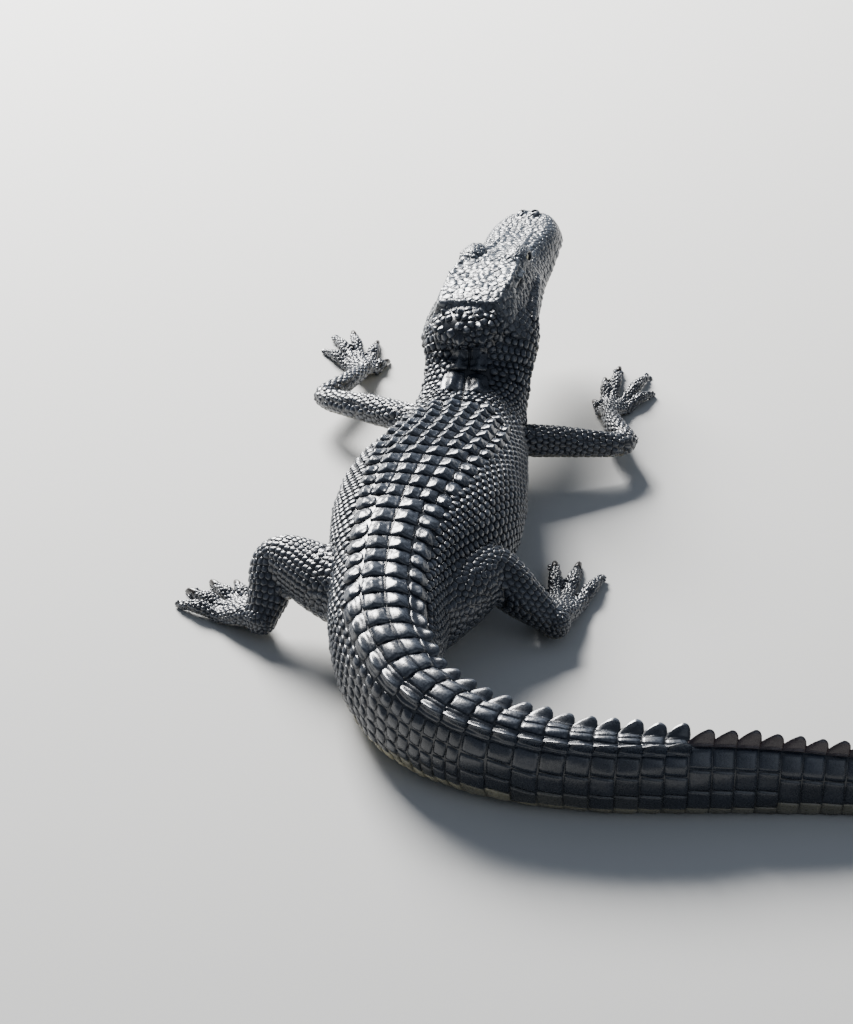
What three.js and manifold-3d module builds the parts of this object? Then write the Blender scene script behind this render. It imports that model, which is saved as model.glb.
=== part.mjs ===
// An American alligator at life size, resting on its belly with the head raised.
// Millimetres, +Z up, the floor at z = 0 and the head towards +Y.
//
// The body is one long loft along the spine, parted into neck, torso and four
// lengths of tail.  The limbs are short lofts parted at their joints, the head is a
// loft in its own level frame, and the horny scutes and tail crests are small keeled
// plates placed in loops and joined to the flesh they grow from.

import * as THREE from 'three';
import { mergeVertices } from 'three/addons/utils/BufferGeometryUtils.js';
import Module from 'manifold-3d';

const wasm = await Module();
wasm.setup();

// Everything on the head is a fraction of this length, snout tip to nape.
const HEAD_LENGTH = 255;
const HEAD_TURN = THREE.MathUtils.degToRad(-15.5);
const HEAD_PITCH = THREE.MathUtils.degToRad(1.5);
const HEAD_ROLL = THREE.MathUtils.degToRad(-7);
const NAPE = new THREE.Vector3(54, 300, 119);

// The width of the parting line between two neighbouring pieces.
const GAP = 0.3;

// Corners round a section of the body and of a limb.
const BODY_SIDES = 20;
const TAIL_SIDES = 16;
const LIMB_SIDES = 12;
const DIGIT_SIDES = 6;

// The transverse rows of scutes on the trunk, and the pitch of the tail whorls.
const ROWS = 19;
const WHORL_PITCH = 22.8;

// How deep the root of a scute is sunk below the hide.
const SINK = 4;

// Sections of the body from the nape to the tail tip, where the spine stands and how
// big the flesh is there: x, y, height of the back, height of the belly, width, and
// how far the middle of the back leans sideways.
const BODY = [
  [63, 322, 168, 78, 118, -8],
  [59, 290, 158, 69, 121, -8],
  [55, 258, 130, 42, 112, -8],
  [46, 215, 111, 13, 118, -4],
  [35, 160, 109, -3, 144, 0],
  [22, 100, 121, -5, 168, 0],
  [11, 46, 131, -6, 185, -4],
  [3, 0, 137, -6, 188, -8],
  [-6, -43, 139, -6, 181, -9],
  [-17, -85, 139, -6, 162, -8],
  [-26, -125, 138, -6, 139, -6],
  [-33, -168, 134, -6, 123, -4],
  [-38, -214, 130, -5, 114, -2],
  [-37, -262, 124, -5, 101, -1],
  [-28, -306, 116, -4, 90, 0],
  [-7, -347, 107, -3, 81, 0],
  [34, -384, 97, -2, 70, 0],
  [90, -410, 89, -2, 61, 0],
  [150, -423, 83, -2, 54, 0],
  [220, -428, 78, -2, 47, 0],
  [300, -428, 73, -2, 40, 0],
  [390, -431, 66, -2, 33, 0],
  [480, -438, 57, -2, 26, 0],
  [570, -448, 46, -2, 19, 0],
  [650, -452, 33, -2, 13, 0],
  [715, -448, 21, -2, 8, 0],
  [745, -444, 12, -2, 5, 0],
];
const NECK_ROOT = 3;
const VENT = 12.45;
const TAIL_CUTS = [16.2, 19.4, 22.3];

// Sections of the head as fractions of its length, from behind the nape to the snout
// tip: distance ahead of the nape, half width at the lip, half width of the flat top,
// height of the top and of the mouth line, how full the side is, and the half width
// and underside of the lower jaw.
const HEAD = [
  [-0.10, 0.235, 0.112, 0.184, -0.034, 0.60, 0.222, -0.160],
  [0.00, 0.240, 0.134, 0.202, -0.030, 0.54, 0.226, -0.158],
  [0.07, 0.238, 0.138, 0.206, -0.022, 0.50, 0.222, -0.150],
  [0.17, 0.230, 0.136, 0.206, -0.002, 0.48, 0.212, -0.138],
  [0.28, 0.217, 0.130, 0.203, 0.014, 0.52, 0.200, -0.126],
  [0.38, 0.202, 0.106, 0.190, 0.018, 0.62, 0.187, -0.116],
  [0.47, 0.188, 0.082, 0.166, 0.010, 0.70, 0.174, -0.108],
  [0.56, 0.179, 0.096, 0.138, -0.006, 0.74, 0.165, -0.102],
  [0.66, 0.172, 0.106, 0.122, -0.008, 0.80, 0.159, -0.098],
  [0.76, 0.169, 0.108, 0.113, 0.002, 0.84, 0.156, -0.094],
  [0.85, 0.161, 0.100, 0.110, 0.004, 0.86, 0.147, -0.090],
  [0.92, 0.142, 0.080, 0.108, -0.004, 0.86, 0.127, -0.080],
  [0.962, 0.116, 0.058, 0.098, -0.006, 0.84, 0.099, -0.068],
  [0.988, 0.082, 0.038, 0.078, -0.002, 0.82, 0.064, -0.050],
  [1.00, 0.042, 0.018, 0.050, 0.004, 0.80, 0.026, -0.026],
];
const HEAD_RINGS = 22;

// Eye, lids, nostrils and the raised edges of the skull table, as fractions too.
const EYE = { x: 0.110, y: 0.385, z: 0.178, radius: 0.036 };

const HIDE = { color: 0x2b2f33, roughness: 0.55, metalness: 0 };
const PALE_HIDE = { color: 0x8d8a78, roughness: 0.6, metalness: 0 };
const HORN = { color: 0x1c1a18, roughness: 0.35, metalness: 0 };
const EYEBALL = { color: 0x5d5a35, roughness: 0.12, metalness: 0 };

// The limbs: where each joint stands, how thick the limb is there and where the tip of
// each digit touches down.  Digits run from the inner to the outer one.
const LIMBS = [
  {
    side: 'left', names: ['upper_arm', 'forearm', 'hand'],
    joints: [[4, 202, 66], [-110, 312, 38], [-68, 418, 17]],
    thick: [17, 11, 9, 9],
    tips: [[-40, 466], [-54, 512], [-84, 536], [-104, 520], [-114, 486]],
  },
  {
    side: 'right', names: ['upper_arm', 'forearm', 'hand'],
    joints: [[66, 176, 62], [209, 216, 34], [197, 320, 17]],
    thick: [18, 12, 9, 9],
    tips: [[182, 372], [198, 424], [216, 450], [246, 426], [250, 386]],
  },
  {
    side: 'left', names: ['thigh', 'shank', 'foot'],
    joints: [[-56, -152, 62], [-146, -86, 70], [-164, -122, 23]],
    thick: [42, 24, 17, 15],
    tips: [[-196, -14], [-222, -14], [-246, -32], [-252, -62]],
  },
  {
    side: 'right', names: ['thigh', 'shank', 'foot'],
    joints: [[-2, -166, 60], [62, -104, 67], [128, -132, 23]],
    thick: [46, 28, 16, 15],
    tips: [[106, -8], [132, 24], [158, 22], [180, -10]],
  },
];

// Rows of a table of sections, read at any place between them by a smooth spline.
function between(rows, place) {
  const last = rows.length - 1;
  const at = THREE.MathUtils.clamp(place, 0, last);
  const i = Math.min(Math.floor(at), last - 1);
  const t = at - i;
  const [a, b, c, d] = [i - 1, i, i + 1, i + 2].map((k) => rows[THREE.MathUtils.clamp(k, 0, last)]);
  return b.map((_, n) => {
    const slopeIn = (c[n] - a[n]) / 2;
    const slopeOut = (d[n] - b[n]) / 2;
    const rise = c[n] - b[n];
    return b[n] + t * (slopeIn + t * (3 * rise - 2 * slopeIn - slopeOut
      + t * (slopeIn + slopeOut - 2 * rise)));
  });
}

// A closed body through rings of equally many points, its two ends fanned shut.
function loft(rings) {
  const count = rings[0].length;
  const points = rings.flat();
  const faces = [];
  for (let r = 0; r < rings.length - 1; r += 1) {
    for (let k = 0; k < count; k += 1) {
      const a = r * count + k;
      const b = r * count + ((k + 1) % count);
      faces.push(a, b, a + count, b, b + count, a + count);
    }
  }
  for (const r of [0, rings.length - 1]) {
    const middle = new THREE.Vector3();
    rings[r].forEach((p) => middle.addScaledVector(p, 1 / count));
    points.push(middle);
    for (let k = 0; k < count; k += 1) {
      const a = r * count + k;
      const b = r * count + ((k + 1) % count);
      faces.push(points.length - 1, ...(r === 0 ? [b, a] : [a, b]));
    }
  }
  return closedSolid(points, faces);
}

// Points and faces as a solid, turned outside out when the loft ran backwards.
function closedSolid(points, faces) {
  let volume = 0;
  for (let f = 0; f < faces.length; f += 3) {
    const [a, b, c] = [0, 1, 2].map((k) => points[faces[f + k]]);
    volume += a.dot(new THREE.Vector3().crossVectors(b, c));
  }
  const turned = volume < 0 ? faces.slice().reverse() : faces;
  return new wasm.Manifold(new wasm.Mesh({
    numProp: 3,
    vertProperties: new Float32Array(points.flatMap((p) => [p.x, p.y, p.z])),
    triVerts: new Uint32Array(turned),
  }));
}

function fromGeometry(geometry) {
  const bare = geometry.clone();
  bare.deleteAttribute('normal');
  bare.deleteAttribute('uv');
  const whole = mergeVertices(bare, 1e-4);
  return new wasm.Manifold(new wasm.Mesh({
    numProp: 3,
    vertProperties: whole.attributes.position.array,
    triVerts: new Uint32Array(whole.index.array),
  }));
}

function joined(solids) {
  return wasm.Manifold.union(solids);
}

// The largest closed piece of a solid, so that no crumb of a cut is left floating.
function largest(solid) {
  return solid.decompose().sort((a, b) => b.volume() - a.volume())[0];
}

function cutBy(solid, point, normal, shift) {
  const n = normal.clone().normalize();
  return solid.trimByPlane([n.x, n.y, n.z], n.dot(point) + shift);
}

// Everything that rests on the floor is cut level with it.
function onFloor(solid) {
  return solid.trimByPlane([0, 0, 1], 0);
}

const group = new THREE.Group();
group.name = 'american_alligator';

function add(name, solid, finish) {
  const cut = largest(solid).getMesh();
  const geometry = new THREE.BufferGeometry();
  geometry.setAttribute('position', new THREE.BufferAttribute(cut.vertProperties.slice(), 3));
  geometry.setIndex(new THREE.BufferAttribute(cut.triVerts.slice(), 1));
  geometry.computeVertexNormals();
  const mesh = new THREE.Mesh(geometry, new THREE.MeshStandardMaterial(finish));
  mesh.name = name;
  group.add(mesh);
}

// A repeatable stream of small differences between one scute and the next.
function seeded(seed) {
  let state = seed;
  return () => {
    state = (state * 1664525 + 1013904223) % 4294967296;
    return state / 4294967296;
  };
}
const chance = seeded(1907);
const vary = (share) => 1 + (chance() - 0.5) * 2 * share;

// The spine, measured along its length so that rows stand at an even pitch.
const spinePoint = (place) => {
  const [x, y, top, bottom] = between(BODY, place);
  return new THREE.Vector3(x, y, (top + bottom) / 2);
};
const STEPS = 20;
const spineMarks = [0];
for (let k = 1; k <= (BODY.length - 1) * STEPS; k += 1) {
  const step = spinePoint(k / STEPS).distanceTo(spinePoint((k - 1) / STEPS));
  spineMarks.push(spineMarks[k - 1] + step);
}

function lengthAt(place) {
  const k = Math.floor(place * STEPS);
  const rest = place * STEPS - k;
  const next = spineMarks[Math.min(k + 1, spineMarks.length - 1)];
  return spineMarks[k] * (1 - rest) + next * rest;
}

function placeAt(length) {
  const k = Math.max(1, spineMarks.findIndex((mark) => mark >= length));
  const rest = (length - spineMarks[k - 1]) / (spineMarks[k] - spineMarks[k - 1]);
  return (k - 1 + rest) / STEPS;
}

// The section of the body at one place: its middle, its own three directions and size.
function bodySection(place) {
  const [, , top, bottom, width, lean] = between(BODY, place);
  const middle = spinePoint(place);
  const ahead = spinePoint(Math.max(place - 0.05, 0)).sub(spinePoint(place + 0.05)).normalize();
  const right = new THREE.Vector3().crossVectors(ahead, new THREE.Vector3(0, 0, 1)).normalize();
  const up = new THREE.Vector3().crossVectors(right, ahead);
  const belly = THREE.MathUtils.lerp(0.86, 1.25, THREE.MathUtils.smoothstep(place, VENT - 1, VENT + 4));
  return {
    middle, ahead, right, up, lean, belly, half: width / 2, tall: ((top - bottom) / 2) * up.z,
  };
}

// A point on the skin: angle zero on the right flank, a quarter turn on the back.
function skinPoint(section, angle, grow = 0) {
  const c = Math.cos(angle);
  const s = Math.sin(angle);
  const full = s > 0 ? 0.86 : section.belly;
  const across = Math.sign(c) * Math.abs(c) ** full * (section.half + grow);
  const upward = Math.sign(s) * Math.abs(s) ** 0.86 * (section.tall + grow);
  const shift = section.lean * Math.max(0, s);
  return section.middle.clone()
    .addScaledVector(section.right, across + shift)
    .addScaledVector(section.up, upward);
}

// Evenly spread places from one parting line to the next, half the gap inside each.
function placesBetween(from, to, count) {
  const half = GAP / 2;
  const start = placeAt(lengthAt(from) + half);
  const end = to >= BODY.length - 1 ? to : placeAt(lengthAt(to) - half);
  return Array.from({ length: count + 1 }, (_, k) => start + ((end - start) * k) / count);
}

function bodyLoft(places, sides, grow = 0) {
  return loft(places.map((place) => {
    const section = bodySection(place);
    return Array.from({ length: sides },
      (_, n) => skinPoint(section, (n / sides) * 2 * Math.PI, grow));
  }));
}

// A place on the back, so far along the spine and so far round from the midline, with
// the directions in which a scute lies there.
function onBack(length, across) {
  const place = placeAt(length);
  const section = bodySection(place);
  const step = across > 0 ? -0.02 : 0.02;
  let angle = Math.PI / 2;
  let gone = 0;
  let point = skinPoint(section, angle);
  while (gone < Math.abs(across)) {
    const next = skinPoint(section, angle + step);
    gone += next.distanceTo(point);
    point = next;
    angle += step;
  }
  const sideways = skinPoint(section, angle - 0.04).sub(skinPoint(section, angle + 0.04)).normalize();
  const before = skinPoint(bodySection(Math.max(place - 0.1, 0)), angle);
  const behind = skinPoint(bodySection(place + 0.1), angle);
  const ahead = before.sub(behind).normalize();
  const out = new THREE.Vector3().crossVectors(sideways, ahead).normalize();
  const right = new THREE.Vector3().crossVectors(ahead, out);
  return new THREE.Matrix4().makeBasis(right, ahead, out).setPosition(point);
}

// One horny scute: a low plate with a keel that climbs towards its hind edge.
function scute(matrix, long, wide, edge, keel) {
  const rings = [[0.5, 0.25], [-0.5, 1]].map(([place, rise]) => {
    const narrow = place > 0 ? 0.86 : 1;
    return [[-0.5, -SINK], [-0.47, edge * rise], [0, (edge + keel) * rise], [0.47, edge * rise],
      [0.5, -SINK]]
      .map(([x, z]) => new THREE.Vector3(x * wide * narrow, place * long, z).applyMatrix4(matrix));
  });
  return loft(rings);
}

// One row of scutes across the back, from a profile of places and heights.  Each place
// is a slice through the row, low in front and at full height along its hind edge.
function scuteRow(length, long, profile) {
  const rings = profile.map(([across, high, pull]) => {
    const matrix = onBack(length, across);
    return [[0.5, -SINK], [0.5 - pull * 0.4, high * 0.3], [-0.5 + pull, high], [-0.5 + pull, -SINK]]
      .map(([y, z]) => new THREE.Vector3(0, y * long, z).applyMatrix4(matrix));
  });
  return loft(rings);
}

// One upright crest plate, a rounded fin whose highest point leans to the rear.
function fin(matrix, long, high, thick) {
  const outline = [[0.5, -SINK], [0.12, high * 0.7], [-0.3, high], [-0.5, high * 0.8],
    [-0.47, -SINK]];
  const rings = [-0.5, 0.5].map((side) => outline.map(([y, z]) => {
    const slim = 1 - 0.72 * Math.max(0, z / high);
    return new THREE.Vector3(side * thick * slim, y * long, z).applyMatrix4(matrix);
  }));
  return loft(rings);
}

// Scutes of the trunk: four to a row over the hips, six and eight further forward.
const trunkStart = lengthAt(NECK_ROOT) + 40;
const rowPitch = (lengthAt(VENT) - trunkStart) / (ROWS - 0.5);
const EDGE = 1.4;
const KEEL = 5;
const SHIELD_WIDTH = [76, 104, 126, 132, 134, 134, 131, 127, 122, 116, 109, 101, 96, 94, 93, 92, 92,
  92, 92];

function columnsIn(row) {
  if (row === 0 || row > 11) return 4;
  return row === 1 || row > 6 ? 6 : 8;
}

function trunkScutes() {
  const rows = [];
  for (let row = 0; row < ROWS; row += 1) {
    const columns = columnsIn(row);
    const wide = SHIELD_WIDTH[row] / columns;
    const profile = [];
    for (let slice = 0; slice <= columns * 2; slice += 1) {
      const across = (slice / 2 - columns / 2) * wide;
      const keeled = slice % 2 === 1;
      const end = slice === 0 || slice === columns * 2;
      const height = keeled ? KEEL * vary(0.12) : EDGE;
      profile.push([across * (end ? 0.97 : 1), end ? 0.6 : height, keeled ? 0 : 0.07]);
    }
    rows.push(scuteRow(trunkStart + row * rowPitch, rowPitch * 0.98, profile));
  }
  return rows;
}

// Neck shield: two large pairs of nuchal scutes with a small pair behind them, and the
// scattered bumps behind the head.
function neckScutes() {
  const plates = [];
  const pairs = [[43, 9.8, 28, 18.5], [13, 12.8, 30, 25], [-9, 7, 12, 13]];
  for (const [ahead, side, long, wide] of pairs) {
    for (const hand of [-1, 1]) {
      const matrix = onBack(lengthAt(NECK_ROOT) - ahead, hand * side);
      plates.push(scute(matrix, long, wide, 1.8, 4.5));
    }
  }
  const bumps = [[74, 12, 12], [78, 33, 9], [86, 23, 9], [90, 44, 9], [62, 38, 10]];
  for (const [ahead, side, size] of bumps) {
    for (const hand of [-1, 1]) {
      const matrix = onBack(lengthAt(NECK_ROOT) - ahead, hand * side);
      plates.push(scute(matrix, size * 1.2, size, 0.8, 2.6));
    }
  }
  return plates;
}

// Tail whorls: two crests that close in on each other, then one single crest.
const tailStart = lengthAt(VENT);
const tailLength = spineMarks[spineMarks.length - 1] - tailStart;
const MERGE = 17;

function tailWhorls() {
  const whorls = [];
  let along = WHORL_PITCH / 2;
  for (let whorl = 0; along < tailLength - 8; whorl += 1) {
    const share = along / tailLength;
    const pitch = WHORL_PITCH * (1.03 - 0.42 * share * share);
    const plates = [];
    const length = tailStart + along;
    if (whorl < MERGE) {
      const near = (MERGE - whorl) / MERGE;
      const side = 5 + 28 * near ** 0.8;
      const high = (5 + 9 * (1 - near) ** 0.7) * vary(0.05);
      const half = [[0, EDGE, 0], [side * 0.45, EDGE + 2 * near, 0], [side - 3, high * 0.35, 0.05],
        [side, high, 0], [side + 2.4, high * 0.35, 0.05], [side + 3.6, 0.4, 0.1]];
      const left = half.slice(1).reverse().map(([across, ...rest]) => [-across, ...rest]);
      plates.push(scuteRow(length, pitch * 0.97, [...left, ...half]));
    } else {
      const fade = 1 - (share - 0.4) / 0.6;
      plates.push(fin(onBack(length, 0), pitch * 0.98, 7 + 9 * Math.sqrt(Math.max(fade, 0)), 5.5));
    }
    whorls.push({ length, plates });
    along += pitch;
  }
  return whorls;
}

function bodyPiece(places, sides, plates) {
  const flesh = onFloor(bodyLoft(places, sides));
  const front = bodySection(places[0]);
  const back = bodySection(places[places.length - 1]);
  let horn = joined(plates);
  horn = cutBy(horn, front.middle, front.ahead.clone().negate(), 0);
  horn = cutBy(horn, back.middle, back.ahead, 0);
  return joined([flesh, horn]);
}

// The head stands in its own frame, nape at the origin, snout along +Y.
const headFrame = new THREE.Matrix4().makeRotationZ(HEAD_TURN)
  .multiply(new THREE.Matrix4().makeRotationX(HEAD_PITCH))
  .multiply(new THREE.Matrix4().makeRotationY(HEAD_ROLL))
  .setPosition(NAPE);
const headPoint = (x, y, z) => new THREE.Vector3(x, y, z).multiplyScalar(HEAD_LENGTH)
  .applyMatrix4(headFrame);

// One half of a head section, from the lip up the cheek to the middle of the top.
function headSide(lip, flat, top, mouth, full, steps) {
  const corner = [flat + (lip - flat) * full, mouth + (top - mouth) * full];
  const side = [];
  for (let k = 0; k <= steps; k += 1) {
    const t = k / steps;
    const [a, b, c] = [(1 - t) ** 2, 2 * t * (1 - t), t * t];
    side.push([lip * a + corner[0] * b + flat * c, mouth * a + corner[1] * b + top * c]);
  }
  return [[0, mouth], [lip * 0.6, mouth], ...side, [flat * 0.5, top + 0.002], [0, top + 0.003]];
}

function headRing(y, side) {
  const left = side.slice(1, -1).reverse().map(([x, z]) => [-x, z]);
  return [...side, ...left].map(([x, z]) => headPoint(x, y, z));
}

function headLofts() {
  const upper = [];
  const lower = [];
  const gap = GAP / HEAD_LENGTH;
  for (let k = 0; k <= HEAD_RINGS; k += 1) {
    const place = (k / HEAD_RINGS) * (HEAD.length - 1);
    const [y, lip, flat, top, mouth, full, jaw, under] = between(HEAD, place);
    upper.push(headRing(y, headSide(lip, flat, top, mouth + gap / 2, full, 5)));
    lower.push(headRing(y, headSide(jaw, jaw * 0.6, under, mouth - gap / 2, 0.82, 3)));
  }
  return [loft(upper), loft(lower)];
}

function headEllipsoid(x, y, z, rx, ry, rz, detail = 12) {
  const ball = new THREE.SphereGeometry(1, detail, Math.round(detail * 0.7));
  ball.scale(rx, ry, rz);
  ball.translate(x, y, z);
  ball.scale(HEAD_LENGTH, HEAD_LENGTH, HEAD_LENGTH);
  ball.applyMatrix4(headFrame);
  return fromGeometry(ball);
}

function buildHead() {
  const [upper, lower] = headLofts();
  const raised = [upper, headEllipsoid(0, 0.925, 0.1, 0.068, 0.052, 0.028)];
  const hollow = [];
  for (const hand of [-1, 1]) {
    raised.push(headEllipsoid(hand * 0.096, EYE.y, 0.176, 0.056, 0.08, 0.048));
    raised.push(headEllipsoid(hand * 0.114, 0.15, 0.192, 0.022, 0.15, 0.018));
    raised.push(headEllipsoid(hand * 0.136, 0.2, 0.176, 0.018, 0.075, 0.016, 8));
    hollow.push(headEllipsoid(hand * 0.16, 0.2, 0.158, 0.02, 0.06, 0.006, 8));
    const socket = EYE.radius + GAP / HEAD_LENGTH;
    hollow.push(headEllipsoid(hand * EYE.x, EYE.y, EYE.z, socket, socket, socket));
    hollow.push(headEllipsoid(hand * 0.156, EYE.y, EYE.z + 0.006, 0.036, 0.046, 0.02));
    hollow.push(headEllipsoid(hand * 0.026, 0.935, 0.13, 0.013, 0.016, 0.016, 10));
  }
  const behind = headPoint(0, -0.02, 0);
  const forward = headPoint(0, 1, 0).sub(headPoint(0, 0, 0));
  const head = joined(raised).subtract(joined(hollow));
  add('head', cutBy(head, behind, forward, GAP / 2), HIDE);
  add('lower_jaw', cutBy(lower, behind, forward, GAP / 2), PALE_HIDE);
  for (const [hand, side] of [[-1, 'left'], [1, 'right']]) {
    const { x, y, z, radius } = EYE;
    add(`eye_${side}`, headEllipsoid(hand * x, y, z, radius, radius, radius), EYEBALL);
  }
  return { behind, forward };
}

// One length of a limb between two joints, oval in section and fullest near its root.
function limbLoft(from, to, thickFrom, thickTo, swell) {
  const along = to.clone().sub(from);
  const ahead = along.clone().normalize();
  const right = new THREE.Vector3().crossVectors(ahead, new THREE.Vector3(0, 0, 1)).normalize();
  const up = new THREE.Vector3().crossVectors(right, ahead);
  const rings = [];
  const reach = [-0.9, -0.7, 0];
  const stops = [...reach.map((r) => [r, 'start']), [0.35, 'mid'], [0.7, 'mid'],
    ...reach.slice().reverse().map((r) => [-r, 'end'])];
  for (const [stop, kind] of stops) {
    const t = kind === 'mid' ? stop : kind === 'start' ? 0 : 1;
    const thick = THREE.MathUtils.lerp(thickFrom, thickTo, t) + swell * Math.sin(Math.PI * t);
    const offset = kind === 'mid' ? 0 : stop * thick;
    const round = kind === 'mid' ? 1 : Math.sqrt(1 - stop * stop);
    const centre = from.clone().addScaledVector(along, t).addScaledVector(ahead, offset);
    const ring = [];
    for (let n = 0; n < LIMB_SIDES; n += 1) {
      const a = (n / LIMB_SIDES) * 2 * Math.PI;
      ring.push(centre.clone()
        .addScaledVector(right, Math.cos(a) * thick * round)
        .addScaledVector(up, Math.sin(a) * thick * 0.9 * round));
    }
    rings.push(ring);
  }
  return loft(rings);
}

// A digit with its share of the palm: a loft from the wrist over the knuckle, arched
// once, to the claw root.
function digitLoft(wrist, knuckle, tip, wide, thick) {
  const rings = [];
  const stops = [[wrist, wide, 0.85], [wrist.clone().lerp(knuckle, 0.6), wide * 0.8, 0.8],
    [knuckle, thick * 1.1, 1], [knuckle.clone().lerp(tip, 0.5).setZ(thick * 1.35), thick, 1],
    [tip, thick * 0.74, 1]];
  stops.forEach(([centre, size, flat], k) => {
    const from = stops[Math.max(k - 1, 0)][0];
    const to = stops[Math.min(k + 1, stops.length - 1)][0];
    const ahead = to.clone().sub(from).normalize();
    const right = new THREE.Vector3().crossVectors(ahead, new THREE.Vector3(0, 0, 1)).normalize();
    const up = new THREE.Vector3().crossVectors(right, ahead);
    const ring = [];
    for (let n = 0; n < DIGIT_SIDES; n += 1) {
      const a = (n / DIGIT_SIDES) * 2 * Math.PI;
      ring.push(centre.clone()
        .addScaledVector(right, Math.cos(a) * size)
        .addScaledVector(up, Math.sin(a) * size * flat));
    }
    rings.push(ring);
  });
  return loft(rings);
}

// A claw: a short curved cone that stands a parting line ahead of its digit.
function clawLoft(root, direction, thick, long) {
  const right = new THREE.Vector3().crossVectors(direction, new THREE.Vector3(0, 0, 1)).normalize();
  const up = new THREE.Vector3().crossVectors(right, direction);
  const rings = [];
  for (const [t, size] of [[0, 0.8], [0.35, 0.66], [0.7, 0.42], [1, 0.1]]) {
    const centre = root.clone().addScaledVector(direction, GAP + long * t);
    centre.addScaledVector(up, long * (0.22 * Math.sin(Math.PI * t * 0.8) - 0.16 * t * t));
    const ring = [];
    for (let n = 0; n < DIGIT_SIDES; n += 1) {
      const a = (n / DIGIT_SIDES) * 2 * Math.PI;
      ring.push(centre.clone()
        .addScaledVector(right, Math.cos(a) * thick * size * 0.8)
        .addScaledVector(up, Math.sin(a) * thick * size));
    }
    rings.push(ring);
  }
  return loft(rings);
}

const DIGIT_THICK = { hand: 6, foot: 7.2 };
const CLAW_LONG = { hand: 15, foot: 18 };
const WEB_THICK = 2.4;
const CLAWED_DIGITS = 3;

function buildLimb(limb, trunk) {
  const [root, elbow, wrist] = limb.joints.map((p) => new THREE.Vector3(...p));
  const [upperName, lowerName, handName] = limb.names.map((name) => `${name}_${limb.side}`);
  const [a, b, c, d] = limb.thick;
  const upperWay = elbow.clone().sub(root).normalize();
  const lowerWay = wrist.clone().sub(elbow).normalize();
  const elbowWay = upperWay.clone().add(lowerWay).normalize();

  const upper = limbLoft(root, elbow, a, b, 3).subtract(trunk);
  add(upperName, onFloor(cutBy(upper, elbow, elbowWay.clone().negate(), GAP / 2)), HIDE);

  const middleTip = new THREE.Vector3(...limb.tips[1], 8);
  const handWay = middleTip.clone().sub(wrist).setZ(0).normalize();
  const wristWay = lowerWay.clone().add(handWay).normalize();
  let lower = cutBy(limbLoft(elbow, wrist, b, c, 1.5), elbow, elbowWay, GAP / 2);
  lower = cutBy(lower, wrist, wristWay.clone().negate(), GAP / 2);
  add(lowerName, onFloor(lower.subtract(trunk)), HIDE);

  const kind = limb.names[2];
  const thick = DIGIT_THICK[kind];
  const pieces = [];
  const tips = limb.tips.map(([x, y]) => new THREE.Vector3(x, y, thick * 0.6));
  const claws = [];
  const inWrist = wrist.clone().addScaledVector(wristWay, -4);
  tips.forEach((tip, n) => {
    const palm = wrist.clone().lerp(tip, kind === 'foot' ? 0.5 : 0.42);
    palm.z = d * 0.55;
    const long = n < CLAWED_DIGITS ? CLAW_LONG[kind] : 4;
    const way = tip.clone().sub(palm).setZ(0).normalize();
    const end = tip.clone().addScaledVector(way, -long);
    pieces.push(digitLoft(inWrist, palm, end, c * 0.94, thick));
    if (n < CLAWED_DIGITS) {
      const pitched = way.clone();
      pitched.z = -0.1;
      claws.push([end, pitched.normalize(), n]);
    }
  });
  if (kind === 'foot') {
    for (let n = 1; n < tips.length; n += 1) {
      pieces.push(webSheet(wrist, [tips[n - 1], tips[n]]));
    }
  }
  let hand = cutBy(joined(pieces), wrist, wristWay, GAP / 2);
  for (const [end, way] of claws) {
    const away = new wasm.Manifold(new wasm.Mesh(slab(end, way, thick * 2.2, 30)));
    hand = hand.subtract(away);
  }
  add(handName, onFloor(hand), HIDE);
  for (const [end, way, n] of claws) {
    const claw = clawLoft(end, way, thick * 0.9, CLAW_LONG[kind]);
    add(`claw_${kind}_${limb.side}_${n + 1}`, onFloor(claw), HORN);
  }
}

// The web between two neighbouring toes: a thin sheet that reaches half way along them.
function webSheet(wrist, ends) {
  const [a, b] = ends.map((end) => wrist.clone().lerp(end, 0.78));
  const rim = a.clone().lerp(b, 0.5).lerp(wrist, 0.12);
  const rings = [-0.5, 0.5].map((side) => [wrist, a, rim, b]
    .map((p) => p.clone().setZ(5 + side * WEB_THICK)));
  return loft(rings);
}

// A block standing just ahead of a digit, which squares off the digit for its claw.
function slab(end, way, size, deep) {
  const box = new THREE.BoxGeometry(size, deep, size);
  box.translate(0, deep / 2, 0);
  const right = new THREE.Vector3().crossVectors(way, new THREE.Vector3(0, 0, 1)).normalize();
  const up = new THREE.Vector3().crossVectors(right, way);
  box.applyMatrix4(new THREE.Matrix4().makeBasis(right, way, up).setPosition(end));
  box.deleteAttribute('normal');
  box.deleteAttribute('uv');
  const whole = mergeVertices(box, 1e-4);
  return {
    numProp: 3,
    vertProperties: whole.attributes.position.array,
    triVerts: new Uint32Array(whole.index.array),
  };
}

const { behind, forward } = buildHead();
const neckPlaces = placesBetween(0, NECK_ROOT, 8);
const neck = bodyPiece(neckPlaces, BODY_SIDES, neckScutes());
add('neck', cutBy(neck, behind, forward.clone().negate(), GAP / 2), HIDE);

const torsoPlaces = placesBetween(NECK_ROOT, VENT, 20);
add('torso', bodyPiece(torsoPlaces, BODY_SIDES, trunkScutes()), HIDE);

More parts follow.
